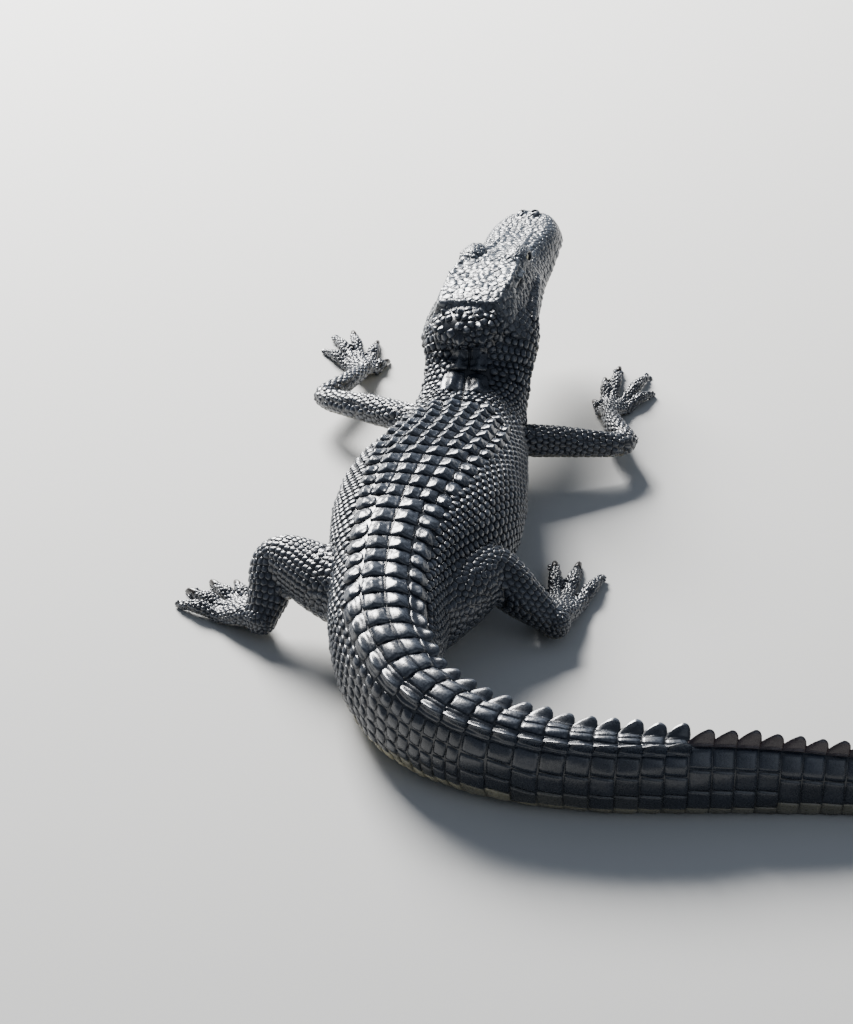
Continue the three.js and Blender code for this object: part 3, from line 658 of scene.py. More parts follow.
def all_landmarks():
    tables = []
    lengths = np.arange(0, spine_lengths[-1], 9.0)
    body = body_section(place_at(lengths))
    tables.append(dict(middle=body["middle"], right=body["right"], up=body["up"], lie=-body["ahead"],
                       half=body["half"], tall=body["tall"], along=lengths,
                       part=np.full(len(lengths), BODY_PART)))
    rows = between(HEAD, np.linspace(0.7, len(HEAD) - 1, 46))
    count = len(rows)
    axes = HEAD_FRAME[:3, :3]
    tables.append(dict(
        middle=head_point(np.column_stack([np.zeros(count), rows[:, 0], (rows[:, 3] + rows[:, 7]) / 2])),
        right=np.repeat(axes[:, 0][None], count, 0), up=np.repeat(axes[:, 2][None], count, 0),
        lie=np.repeat(-axes[:, 1][None], count, 0), half=rows[:, 1] * HEAD_LENGTH,
        tall=(rows[:, 3] - rows[:, 7]) / 2 * HEAD_LENGTH, along=rows[:, 0] * HEAD_LENGTH,
        part=np.full(count, HEAD_PART)))
    for k, limb in enumerate(LIMBS):
        path, wide, tall = (x[::2] for x in limb_path(limb))
        along = lengths_along(path)
        limb["long"] = along[-1]
        tables.append(tube_landmarks(FIRST_LIMB + k, path, wide, tall, along, tube_frames(path)[0]))
        for n in range(len(limb["tips"])):
            path, wide, tall = (x[8::3] for x in digit_path(limb, n)[:3])
            tables.append(tube_landmarks(FIRST_LIMB + k, path, wide, tall,
                                         lengths_along(path) + along[-1] + 6, tube_frames(path)[0]))
    return {key: np.concatenate([table[key] for table in tables]) for key in tables[0]}


LANDMARKS = all_landmarks()


print("landmarks", len(LANDMARKS["part"]))

# %% [markdown]
# A point of the skin lies one half width from its own section, whatever its size, so distances are
# compared in half widths and half heights. In millimetres the broad flank would be closer to a thin
# arm beside it. The same answer makes the flat map for baking.
# %% Where a point is
CHUNK = 3000
MARK_REACH = 14


def locate(points):
    """Part, distance along, angle round and direction of lie of each point of the hide."""
    found = np.empty(len(points), int)
    marks = {k: v.astype(np.float32) for k, v in LANDMARKS.items() if k != "part"}
    for start in range(0, len(points), CHUNK):
        offset = points[start:start + CHUNK, None].astype(np.float32) - marks["middle"][None]
        x = np.einsum("ijk,jk->ij", offset, marks["right"]) / marks["half"]
        z = np.einsum("ijk,jk->ij", offset, marks["up"]) / marks["tall"]
        y = np.einsum("ijk,jk->ij", offset, marks["lie"]) / MARK_REACH
        found[start:start + CHUNK] = np.argmin(x * x + y * y + z * z, axis=1)
    offset = points - LANDMARKS["middle"][found]
    x = np.einsum("ij,ij->i", offset, LANDMARKS["right"][found]) / LANDMARKS["half"][found]
    z = np.einsum("ij,ij->i", offset, LANDMARKS["up"][found]) / LANDMARKS["tall"][found]
    y = np.einsum("ij,ij->i", offset, LANDMARKS["lie"][found])
    return dict(part=LANDMARKS["part"][found], along=LANDMARKS["along"][found] + y,
                angle=np.arctan2(z, x), lie=LANDMARKS["lie"][found], mark=found)


def unwrap(where):
    """A flat map of the hide: each part has its own rectangle, along by round."""
    part, share = where["part"], (where["angle"] + math.pi) / (2 * math.pi)
    u = np.clip(where["along"] / 2050, 0, 1) * 0.98 + 0.01
    v = share * 0.46 + 0.01
    head = part == HEAD_PART
    u = np.where(head, np.clip((where["along"] + 20) / 280, 0, 1) * 0.3 + 0.01, u)
    v = np.where(head, share * 0.46 + 0.51, v)
    for k in range(len(LIMBS)):
        mine = part == FIRST_LIMB + k
        u = np.where(mine, np.clip(where["along"] / 420, 0, 1) * 0.31 + 0.34 + 0.33 * (k % 2), u)
        v = np.where(mine, share * 0.22 + 0.51 + 0.24 * (k // 2), v)
    return np.stack([u, v], 1)


print("rectangles on the flat map", len(LIMBS) + 2)

# %% [markdown]
# Flesh doesn't meet in corners. Where a limb leaves the trunk and where the head sits on the neck
# the skin is relaxed, most at the joint and less and less around it.
# %% Soft joints
def near(points, centre, radius):
    return 1 - smoothstep(np.linalg.norm(points - np.asarray(centre, float), axis=1), radius * 0.5, radius)


points, edges = read_points(flesh), read_edges(flesh)
local = head_local(points)
soft = np.zeros(len(points))
for limb in LIMBS:
    root, elbow, wrist = np.array(limb["joints"], float)
    thick = limb["thick"][0]
    soft = np.maximum(soft, near(points, root + unit(elbow - root) * thick, 34 + thick * 1.3))
    soft = np.maximum(soft, 0.5 * near(points, wrist, 26))
cheek = smoothstep(-local[:, 1], -0.30, 0.0) * smoothstep(-local[:, 2], -0.135, -0.07)
behind = smoothstep(-local[:, 1], 0.015, 0.06) * (1 - smoothstep(-local[:, 1], 0.30, 0.45))
head_side = (np.abs(local[:, 1]) < 0.6) * (np.abs(local[:, 0]) < 0.4)
table_end = (1 - smoothstep(np.abs(local[:, 1] + 0.03), 0.03, 0.085)) * smoothstep(local[:, 2], 0.10, 0.15)
soft = np.maximum(soft, head_side * np.maximum(np.maximum(cheek * 0.7, behind), 0.9 * table_end))
points = relax(points, edges, 26, soft, 0.5, -0.3)
points = relax(points, edges, 3, np.where(local[:, 1] > 0.02, 0.4, 1.0))
write_points(flesh, points)


print("relaxed", int((soft > 0.1).sum()), "points")

# %% [markdown]
# Loose skin gathers in wavy folds behind the jaw and at the joints, the skull has shallow pits and
# lumps, and the lips swell over the teeth. Each is a formula for how deep the skin sinks; they are
# added up and the hide moves once. The lids stay smooth.
# %% Folds of the hide
def crease(points, centre, axis, pitch, depth, radius, waver=0.6):
    """How deep the skin sinks in creases that run across an axis, near one place."""
    offset = (points - np.asarray(centre, float))
    wave = offset @ unit(np.asarray(axis, float)) / pitch * 2 * math.pi
    wave = wave + waver * np.sin(offset @ np.array([0.09, -0.05, 0.12]))
    wave = wave + waver * np.sin(points[:, 2] * 0.11)
    return depth * near(points, centre, radius) * (0.5 + 0.5 * np.cos(wave)) ** 3


def hollow(local, centre, radii):
    """One inside an ellipse of the head and nothing outside it."""
    side, ahead = np.abs(local[:, 0]) - centre[0], local[:, 1] - centre[1]
    away = side ** 2 / radii[0] ** 2 + ahead ** 2 / radii[1] ** 2
    return np.clip(1 - away, 0, 1) ** 1.5


ABOVE_FLOOR = 0.3
local = head_local(points)
sink = np.zeros(len(points))
for limb in LIMBS:
    root, elbow, wrist = np.array(limb["joints"], float)
    thick = limb["thick"][0]
    sink += crease(points, root + unit(elbow - root) * thick * 0.7, elbow - root, 11, 1.6, thick + 26)
    sink += crease(points, elbow, wrist - root, 8, 0.9, 26)
    sink += crease(points, wrist, wrist - elbow, 5.5, 0.6, 22)
neck_axis = spine(np.array([0.0]))[0] - spine(np.array([2.0]))[0]
for hand in (-1, 1):
    sink += crease(points, head_point([hand * 0.2, -0.14, -0.04]), neck_axis, 13, 1.9, 64)
    sink += crease(points, head_point([hand * 0.19, 0.02, -0.11]), neck_axis + [0, 0, 30], 15, 1.1, 46)
upper = smoothstep(local[:, 2], 0.13, 0.17)
sink += 1.3 * hollow(local, (0.058, 0.12), (0.045, 0.085)) * upper
sink += 1.2 * hollow(local, (0.0, 0.40), (0.034, 0.09)) * upper
snout = smoothstep(local[:, 2], 0.06, 0.09) * smoothstep(local[:, 1], 0.40, 0.5)
sink += 1.0 * hollow(local, (0.10, 0.56), (0.03, 0.12)) * snout
sink += 0.8 * hollow(local, (0.02, 0.72), (0.022, 0.13)) * snout
mouth = np.interp(local[:, 1], HEAD[:, 0], HEAD[:, 4])
lip_band = np.exp(-((local[:, 2] - mouth) / 0.045) ** 2) * smoothstep(local[:, 1], 0.2, 0.35)
lip_band *= (np.abs(local[:, 0]) > 0.02) & (np.abs(local[:, 0]) < 0.3) & (local[:, 1] < 1.05)
sink -= 0.65 * lip_band * np.cos(local[:, 1] * 2 * math.pi / 0.062 + 1.5 * np.sin(local[:, 1] * 21))
x, y, z = points.T
rough = np.sin(x * 0.9 + 2 * np.sin(y * 0.5)) * np.sin(y * 0.8 + 2 * np.sin(z * 0.6))
lumps = np.sin(x * 0.42 + 3 * np.sin(y * 0.21)) * np.sin(y * 0.37 + 2 * np.sin(x * 0.3))
narrow = np.abs(local[:, 0]) < 0.3
on_top = smoothstep(local[:, 2], 0.09, 0.15) * narrow * (np.abs(local[:, 1] - 0.5) < 0.55)
on_face = smoothstep(local[:, 2], 0.05, 0.1) * narrow * (local[:, 1] > 0.0) * (local[:, 1] < 1.05)
sink += 0.8 * lumps * on_top
sink += 0.36 * rough * on_face
sink *= smoothstep(from_eye(local), 0.045, 0.07)
points = points - read_normals(flesh) * sink[:, None]
points[:, 2] = np.maximum(points[:, 2], ABOVE_FLOOR)
write_points(flesh, points)
print("creased", int((sink > 0.3).sum()), "points")

# %% [markdown]
# The openings of the head are cut, as they are in the solids: the socket round each eye, the slit
# between the lids, the crescent of each nostril, the slit under the ear flap and the long wavy line
# of the mouth, which runs back to below the ear.
# %% Openings of the head
def mouth_sheet(deep=0.05, thin=0.0042):
    """A wedge along the mouth line, from one corner round the snout to the other."""
    rows = between(HEAD, np.linspace(2.6, len(HEAD) - 1, 160))
    side = np.stack([rows[:, 1] + 0.02, rows[:, 0], rows[:, 4]], 1)
    inner = np.stack([np.maximum(rows[:, 6] - deep, 0.0), np.minimum(rows[:, 0], 0.950), rows[:, 4]], 1)
    outer_line = np.concatenate([side, side[::-1] * [-1, 1, 1]])
    outer_line[len(side) - 1:len(side) + 1, 1] += 0.02
    inner_line = np.concatenate([inner, inner[::-1] * [-1, 1, 1]])
    fade = np.minimum(1, np.linspace(0, 14, len(side)) + 0.25)
    half = thin * np.concatenate([fade, fade[::-1]])[:, None] * [0, 0, 1]
    narrow = half * 0.3
    rings = np.stack([outer_line + half, inner_line + narrow, inner_line - narrow, outer_line - half], 1)
    count, sides = rings.shape[:2]
    return loft(head_point(rings.reshape(-1, 3)).reshape(count, sides, 3))


def openings():
    cuts = [mouth_sheet()]
    socket = EYE["radius"] + 0.0012
    for hand in (-1, 1):
        cuts.append(ball((hand * EYE["x"], EYE["y"], EYE["z"]), (socket,) * 3))
        slant = Matrix.Rotation(math.radians(-7), 4, "X").to_euler()
        cuts.append(ball((hand * (EYE["x"] + 0.044), EYE["y"], 0.183), (0.040, 0.0305, 0.0158), slant))
        droop = Matrix.Rotation(math.radians(16 * hand), 4, "Y").to_euler()
        cuts.append(ball((hand * 0.166, 0.2, 0.158), (0.030, 0.070, 0.0062), droop))
        tilt = Matrix.Rotation(math.radians(-38 * hand), 4, "Z").to_euler()
        cuts.append(ball((hand * 0.029, 0.930, 0.126), (0.0085, 0.018, 0.017), tilt))
    return cuts


print("cutters", len(openings()))

# %% [markdown]
# A Boolean cut leaves a clean sharp rim, which a remesh can't. The skin is thinned out first where
# the coat will hide it, because the cut is slow on a dense mesh.
# %% Cutting the openings
def cut_out(piece, forms):
    for k, (points, faces) in enumerate(forms):
        cutter = put_mesh(f"cutter_{k}", points, faces)
        cut = piece.modifiers.new(f"cut_{k}", "BOOLEAN")
        cut.operation = "DIFFERENCE"
        cut.solver = "MANIFOLD"
        cut.object = cutter
        apply_all(piece)
        bpy.data.objects.remove(cutter)


def thin_out(piece, keep, share):
    """Fewer faces where the coat hides the skin, and all of them where it is bare."""
    group = piece.vertex_groups.new(name="thin")
    for level in range(1, 11):
        chosen = np.nonzero(np.round((1 - keep) * 10).astype(int) == level)[0]
        group.add(chosen.tolist(), level / 10, "REPLACE")
    fewer = piece.modifiers.new("fewer", "DECIMATE")
    fewer.ratio = share
    fewer.vertex_group = "thin"
    fewer.vertex_group_factor = 1.0
    apply_all(piece)
    piece.vertex_groups.clear()


# the share of the faces that stays where the coat hides the skin
KEPT_SHARE = 0.36
bare = near(points, head_point([0, 0.5, 0.05]), 175)
for limb in LIMBS:
    bare = np.maximum(bare, 0.6 * near(points, limb["joints"][2], 120))
thin_out(flesh, bare, KEPT_SHARE)
before = len(flesh.data.vertices)
cut_out(flesh, openings())
for polygon in flesh.data.polygons:
    polygon.use_smooth = True
print("openings cut, points before and after:", before, len(flesh.data.vertices))

# %% [markdown]
# Markings are worked out once, from the place on the body, and used for the hide and for every
# scale that grows from it. A grown alligator is charcoal above, a little browner down the flanks,
# and pale yellowish grey under the jaw, throat and belly.
# %% Markings


def linear(hex_colour):
    """An sRGB hex colour as linear light."""
    parts = np.array([int(hex_colour[k:k + 2], 16) / 255 for k in (1, 3, 5)])
    return np.where(parts <= 0.04045, parts / 12.92, ((parts + 0.055) / 1.055) ** 2.4)


BACK = linear("#1c222c")
FLANK = linear("#24282f")
BELLY = linear("#a39c80")
THROAT = linear("#a8a084")
SKULL = linear("#2f3338")
# the top of the skull is lighter: dry skin, and a painted highlight where light falls on it
DRY_CROWN_AND_HIGHLIGHT = linear("#3d434b")
JAW_EDGE = linear("#45453f")
LIMB = linear("#20252e")
PALM = linear("#6f6a5a")
RUST = linear("#40241a")


def mix(a, b, share):
    return a + (b - a) * np.asarray(share)[:, None]


print("back as linear light", BACK.round(4).tolist())

# %% [markdown]
# Painting would need an image. A colour worked out from part, height and distance is the same on
# the hide and on every scale over it, so no border shows, and soft waves keep large areas from
# looking painted.
# %% Colour from the place
DIGIT_ENDS = np.array([digit_path(limb, n)[4] for limb in LIMBS for n in range(len(limb["tips"]))])


def markings(points, where):
    """The colour of the hide at each point, from where it is on the animal."""
    low = -np.sin(where["angle"])
    part, along = where["part"], where["along"]
    n = len(points)
    patch = 0.5 + 0.5 * np.sin(points[:, 0] * 0.083 + 2.1 * np.sin(points[:, 1] * 0.047)) * np.sin(
        points[:, 1] * 0.071 + points[:, 2] * 0.09 + 1.7 * np.sin(points[:, 0] * 0.039))
    colour = mix(np.repeat(BACK[None], n, 0), FLANK, smoothstep(low, -0.75, -0.2))
    neck = (part == BODY_PART) * (1 - smoothstep(along, 60, 140))
    pale = smoothstep(low + 0.12 * (patch - 0.5), 0.42, 0.8)
    pale = np.maximum(pale, neck * smoothstep(low + 0.2 * (patch - 0.5), 0.0, 0.34))
    pale = np.where(part == BODY_PART, pale * (1 - 0.7 * smoothstep(along, 620, 1100)), 0)
    colour = mix(colour, BELLY, pale)
    local = head_local(points)
    head = part == HEAD_PART
    mouth = np.interp(local[:, 1], HEAD[:, 0], HEAD[:, 4])
    below = mouth - local[:, 2]
    face = mix(np.repeat(SKULL[None], n, 0), BACK, smoothstep(-local[:, 2], -0.15, -0.06) * 0.7)
    # the flat top of the skull is made lighter, for its dry skin and as a painted highlight
    crown = local[:, 2] - np.interp(local[:, 1], HEAD[:, 0], HEAD[:, 3])
    face = mix(face, DRY_CROWN_AND_HIGHLIGHT, 0.75 * smoothstep(crown, -0.05, -0.01))
    face = mix(face, JAW_EDGE, 0.5 * (1 - smoothstep(np.abs(below), 0.0, 0.03)))
    face = mix(face, THROAT, smoothstep(below + 0.04 * (patch - 0.5), 0.008, 0.05))
    colour = np.where(head[:, None], face, colour)
    limb = part >= FIRST_LIMB
    from_tip = np.linalg.norm(points[:, None] - DIGIT_ENDS, axis=2).min(1)
    sole = smoothstep(low, 0.45, 0.85) * smoothstep(from_tip, 8, 16)
    leg = mix(np.repeat(LIMB[None], n, 0), PALM, 0.8 * sole)
    colour = np.where(limb[:, None], leg, colour)
    return colour * (0.86 + 0.28 * patch[:, None])


print("markings from", len(BODY), "sections")

# %% [markdown]
# The back is mapped by how far a place is along the spine and how far round from the midline,
# measured with a tape over the skin, so that a plate keeps its true size when it is wrapped over
# the flank. A place between grid points gets the mean of the four around it, weighted by nearness.
# %% A map of the back
MAP_STEP = 3.0
MAP_REACH = 150
map_lengths = np.arange(0, spine_lengths[-1] - 1, MAP_STEP)
map_across = np.arange(-MAP_REACH, MAP_REACH + 1, MAP_STEP)


def tape_map():
    """Skin points and half girths over a grid of lengths and distances from the midline."""
    places = place_at(map_lengths)
    turned = np.linspace(0, math.pi, 181)
    girths, angles = [], []
    for hand in (-1, 1):
        ring = body_skin(places[:, None] + 0 * turned, math.pi / 2 - hand * turned + 0 * places[:, None],
                         -COAT_DEPTH)
        tape = np.concatenate([np.zeros((len(places), 1)),
                               np.cumsum(np.linalg.norm(np.diff(ring, axis=1), axis=2), axis=1)], 1)
        mine = map_across[map_across * hand > 0] * hand
        mine = np.sort(np.append(mine, 0))
        rows = [np.interp(mine, tape[r], turned) for r in range(len(places))]
        angles.append(math.pi / 2 - hand * np.array(rows))
        girths.append(tape[:, -1])
    angle = np.concatenate([angles[0][:, :0:-1], angles[1]], 1)
    points = body_skin(places[:, None] + 0 * angle, angle, -COAT_DEPTH)
    return points, np.minimum(*girths)


map_points, half_girth = tape_map()
side_way = unit(np.gradient(map_points, axis=1))
back_way = unit(np.gradient(map_points, axis=0))
map_normals = unit(np.cross(back_way, side_way) * -1)
if (map_normals[20, MAP_REACH // 3] @ [0, 0, 1]) < 0:
    map_normals = -map_normals


def read_map(grid, length, across):
    """A value of the map at any length and distance from the midline."""
    r = np.clip(length / MAP_STEP, 0, len(map_lengths) - 1.001)
    c = np.clip((across + MAP_REACH) / MAP_STEP, 0, len(map_across) - 1.001)
    i, j = r.astype(int), c.astype(int)
    fr, fc = (r - i)[..., None], (c - j)[..., None]
    return ((grid[i, j] * (1 - fc) + grid[i, j + 1] * fc) * (1 - fr)
            + (grid[i + 1, j] * (1 - fc) + grid[i + 1, j + 1] * fc) * fr)


def girth_at(length):
    return np.interp(length, map_lengths, half_girth)


print("map of the back", map_points.shape[:2])

# %% [markdown]
# A scute is horn over bone: a plate with a keel that climbs towards its hind edge. One blank is
# modelled from a grid, with its rim turned down and its underside closed, and every plate
# of the animal is a copy of a blank, pressed to its own width, roundness and keel and laid on the
# map of the back.
# %% Blanks for the plates


def deselected():
    if bpy.context.object and bpy.context.object.mode == "EDIT":
        bpy.ops.object.mode_set(mode="OBJECT")
    bpy.ops.object.select_all(action="DESELECT")


def plate_blank(columns, rows):
    """A square plate from -1 to 1 with its rim turned down and closed below."""
    deselected()
    bpy.ops.mesh.primitive_grid_add(x_subdivisions=columns, y_subdivisions=rows, size=2)
    blank = bpy.context.object
    bpy.ops.object.mode_set(mode="EDIT")
    bpy.ops.mesh.select_all(action="SELECT")
    bpy.ops.mesh.region_to_loop()
    bpy.ops.mesh.extrude_region_move(TRANSFORM_OT_translate={"value": (0, 0, -1)})
    bpy.ops.mesh.edge_face_add()
    bpy.ops.mesh.select_all(action="SELECT")
    bpy.ops.mesh.normals_make_consistent(inside=False)
    bpy.ops.object.mode_set(mode="OBJECT")
    points = read_points(blank) * MM
    faces = [list(polygon.vertices) for polygon in blank.data.polygons]
    bpy.data.objects.remove(blank)
    return points, faces


BLANK = plate_blank(16, 12)
SMALL_BLANK = plate_blank(6, 6)
print("blank of", len(BLANK[0]), "points")

# %% [markdown]
# A scute has rounded corners, a sunken rim and a keel that climbs to the rear; a crest plate is
# nearly all keel. One formula presses the blank into any of them, so that a plate is a dozen sizes
# and no mesh of its own.
# %% Pressing a plate
def press(blank, plate):
    """One blank pressed to a plate's shape: x across, y to the rear and z in millimetres."""
    points, _ = blank
    x, y, down = points[:, 0], points[:, 1], points[:, 2] < -0.5
    corner = plate["round"]
    px = x * np.sqrt(1 - corner * y * y) * (1 + plate.get("flare", 0.06) * y)
    py = y * np.sqrt(1 - corner * x * x)
    rim = smoothstep(1 - np.maximum(np.abs(x), np.abs(y)), -0.02, plate.get("rim", 0.26))
    rear = plate.get("front", 0.25) + (1 - plate.get("front", 0.25)) * smoothstep(y, -1.05, 0.1)
    z = plate["edge"] * (0.45 + 0.55 * rim) * rear
    sharp = np.clip(1 - np.abs(x) / plate.get("broad", 0.5), 0, 1) ** plate.get("curve", 1.15)
    climb = smoothstep(y, -1.0, 0.35) * (1 - 0.3 * smoothstep(y, 0.55, 1.0))
    falls = np.sqrt(np.clip(1 - (np.maximum(y - 0.2, 0) / 0.84) ** 2, 0.0, 1))
    fin = np.clip((y + 1.0) / 1.2, 0, 1) ** 0.6 * falls
    climb = climb + (fin - climb) * plate.get("fin", 0)
    z = z + plate["keel"] * sharp * climb
    z = z + plate["edge"] * 0.16 * np.sin(7 * x + plate["seed"]) * np.sin(6 * y + 2 * plate["seed"]) * rim
    z = np.where(down, -3.0, z)
    shift = plate.get("overhang", 0) * np.maximum(z, 0)
    return np.stack([px * plate["wide"] / 2, py * plate["long"] / 2 + shift, z], 1)


sample = dict(wide=20, long=22, round=0.1, edge=2, keel=4, seed=0)
print("a pressed plate in millimetres", np.ptp(press(BLANK, sample), axis=0).round(1).tolist())

# %% [markdown]
# Real plates sit in the skin and follow its folds. A shrinkwrap would flatten their keels, so each
# point finds its place on the map, drops along the normal to the real hide and is then raised by
# its own height.
# %% Laying plates on the hide
hide_points = read_points(flesh)
hide_tree = BVHTree.FromPolygons(hide_points.tolist(), [list(p.vertices) for p in flesh.data.polygons])


def onto_hide(points):
    """The closest places on the hide, and its normals there."""
    hits = [hide_tree.find_nearest(Vector(p)) for p in points]
    return np.array([list(h[0]) for h in hits]), np.array([list(h[1]) for h in hits])


def down_to_hide(base, normal, reach=24.0):
    """Moves places along their normals until they lie on the real hide."""
    flat, ways = base.reshape(-1, 3), np.broadcast_to(normal, base.shape).reshape(-1, 3)
    starts = flat + ways * reach
    drop = np.zeros(len(flat))
    for n, (start, way) in enumerate(zip(starts.tolist(), (-ways).tolist())):
        hit = hide_tree.ray_cast(Vector(start), Vector(way), 2 * reach)
        if hit[0] is not None:
            drop[n] = reach - hit[3]
    return (flat + ways * drop[:, None]).reshape(base.shape)


def lay_plates(plates, blank):
    """Copies of a blank, pressed and laid on the back: their points, heights and roots."""
    shapes = np.array([press(blank, plate) for plate in plates])
    length = np.array([plate["length"] for plate in plates])
    across = np.array([plate["across"] for plate in plates])
    reach = girth_at(length)[:, None] - 0.4
    where_across = np.clip(across[:, None] + shapes[:, :, 0], -reach, reach)
    where_length = length[:, None] + shapes[:, :, 1]
    base = read_map(map_points, where_length, where_across)
    normal = unit(read_map(map_normals, where_length, where_across))
    base = down_to_hide(base, normal)
    return base + normal * shapes[:, :, 2:3], shapes[:, :, 2], read_map(map_points, length, across)


def lay_on_hide(plates, blank):
    """Copies of a blank, pressed and laid flat round their roots on the real hide."""
    shapes = np.array([press(blank, plate) for plate in plates])
    roots, normal = (np.array([plate[key] for plate in plates]) for key in ("root", "normal"))
    lie, side = (np.array([plate[key] for plate in plates]) for key in ("lie", "side"))
    base = roots[:, None] + side[:, None] * shapes[:, :, :1] + lie[:, None] * shapes[:, :, 1:2]
    base = down_to_hide(base, normal[:, None], 12.0)
    return base + normal[:, None] * shapes[:, :, 2:3], shapes[:, :, 2], roots


print("hide of", len(hide_points), "points")

# %% [markdown]
# The shield of the back has nineteen rows, one for each vertebra, four plates wide at the hips and
# eight at the widest. Only the sizes differ, so it is a short loop over rows and columns, with
# small chances in size and place.
# %% Scutes of the back
ROWS = 19
ROW_START = length_at(NECK_ROOT) + 40
ROW_PITCH = (length_at(VENT) - ROW_START) / (ROWS - 0.5)
# how wide all plates of a row are together, from the neck to the hips
SHIELD_WIDTH = [76, 104, 126, 132, 134, 134, 131, 127, 122, 116, 109, 101, 96, 94, 93, 92, 92, 92, 92]


def columns_in(row):
    if row == 0 or row > 11:
        return 4
    return 6 if row == 1 or row > 6 else 8


def back_scutes():
    plates = []
    for row in range(ROWS):
        columns = columns_in(row)
        wide = SHIELD_WIDTH[row] / columns
        for column in range(columns):
            across = (column - (columns - 1) / 2) * wide
            outer = column in (0, columns - 1)
            middle = abs(column - (columns - 1) / 2) < 1
            plates.append(dict(
                length=ROW_START + row * ROW_PITCH + rng.normal(0, 0.5) + (1.2 if middle else 0),
                across=across * (0.985 if outer else 1) + rng.normal(0, 0.3),
                wide=wide * (0.92 if outer else 0.97), long=ROW_PITCH * (0.92 if outer else 0.985),
                round=0.40 if outer else 0.09, edge=rng.normal(2.3, 0.15), rim=0.17, curve=1.0,
                keel=rng.normal(4.8 - 1.3 * smoothstep(row, 6, 13), 0.35) * (0.8 if outer else 1),
                seed=rng.uniform(0, 6), front=0.45, broad=rng.uniform(0.6, 0.8), worn_and_sheen=0.7))
    return plates


print("plates in each row", [columns_in(row) for row in range(ROWS)])

# %% [markdown]
# Behind the skull lie small keeled bumps, and on the nape the large square nuchal plates in pairs.
# They follow no rule, so the bumps are listed one by one as the photo shows them and dropped on the
# hide along the line of sight.
# %% Scutes of the neck
# ahead of the neck's root, from the midline, long, wide, how round the corners are
NUCHAL_PAIRS = [(64.3, 9.9, 29, 19.2, 0.24), (21.8, 13.3, 34, 26, 0.2), (-21.1, 7, 12.5, 13, 0.3)]
SIGHT = unit(np.array([0.012, 0.887, -0.461]))
# the bumps behind the skull: a place on the line of sight and a size, in millimetres
NECK_BUMPS = [(20, 290, 153, 9), (35.5, 275.6, 161, 10), (55, 272, 162.6, 10), (71, 281, 158, 9),
              (35, 266, 149, 10.5), (56, 264, 150, 10.5), (15.4, 278, 138, 9), (78, 268.6, 143, 9),
              (35.5, 257.6, 137, 11), (60, 255.6, 138, 11), (18, 262, 128, 9), (77, 257, 132, 9)]


def neck_scutes():
    """The square nuchal plates in pairs, and the keeled bumps behind the skull table."""
    plates = []
    for ahead, side, long, wide, corner in NUCHAL_PAIRS:
        for hand in (-1, 1):
            root = read_map(map_points, length_at(NECK_ROOT) - ahead, np.array(hand * side))
            plates.append(dict(
                root=root, wide=wide, long=long, round=corner, edge=2.8, keel=4.8 * wide / 20, rim=0.16,
                seed=rng.uniform(0, 6), front=0.3, broad=0.5, worn_and_sheen=0.9))
    for x, y, z, size in NECK_BUMPS:
        hit = hide_tree.ray_cast(Vector(np.array([x, y, z]) - SIGHT * 60), Vector(SIGHT), 200)
        plates.append(dict(root=list(hit[0]), wide=size, long=size * 1.12, round=0.48, edge=1.7,
                           keel=rng.normal(0.42, 0.04) * size, seed=rng.uniform(0, 6), front=0.25,
                           broad=0.75))
    roots, _ = onto_hide([plate["root"] for plate in plates])
    around = [onto_hide(root + rng.normal(0, 5.5, (24, 3)))[1].mean(0) for root in roots]
    back = -unit(body_section(np.array(1.2))["ahead"])
    for plate, root, normal in zip(plates, roots, np.array(around)):
        normal = unit(normal)
        lie = unit(back - normal * (back @ normal))
        plate.update(root=root, normal=normal, lie=lie, side=np.cross(lie, normal))
    return plates


neck_plates = neck_scutes()
print("plates on the neck", len(neck_plates))

# %% [markdown]
# Each vertebra of the tail carries a ring of plates. Its outer keels rise into a double crest that
# merges into one row of fins, and the sides change from small keeled plates to tall smooth ones.
# %% Rings of the tail
TAIL_START = length_at(VENT)
TAIL_LONG = spine_lengths[-1] - TAIL_START
# the ring of the tail where the two crests become one
MERGE = 17
WHORL_PITCH = 22.8


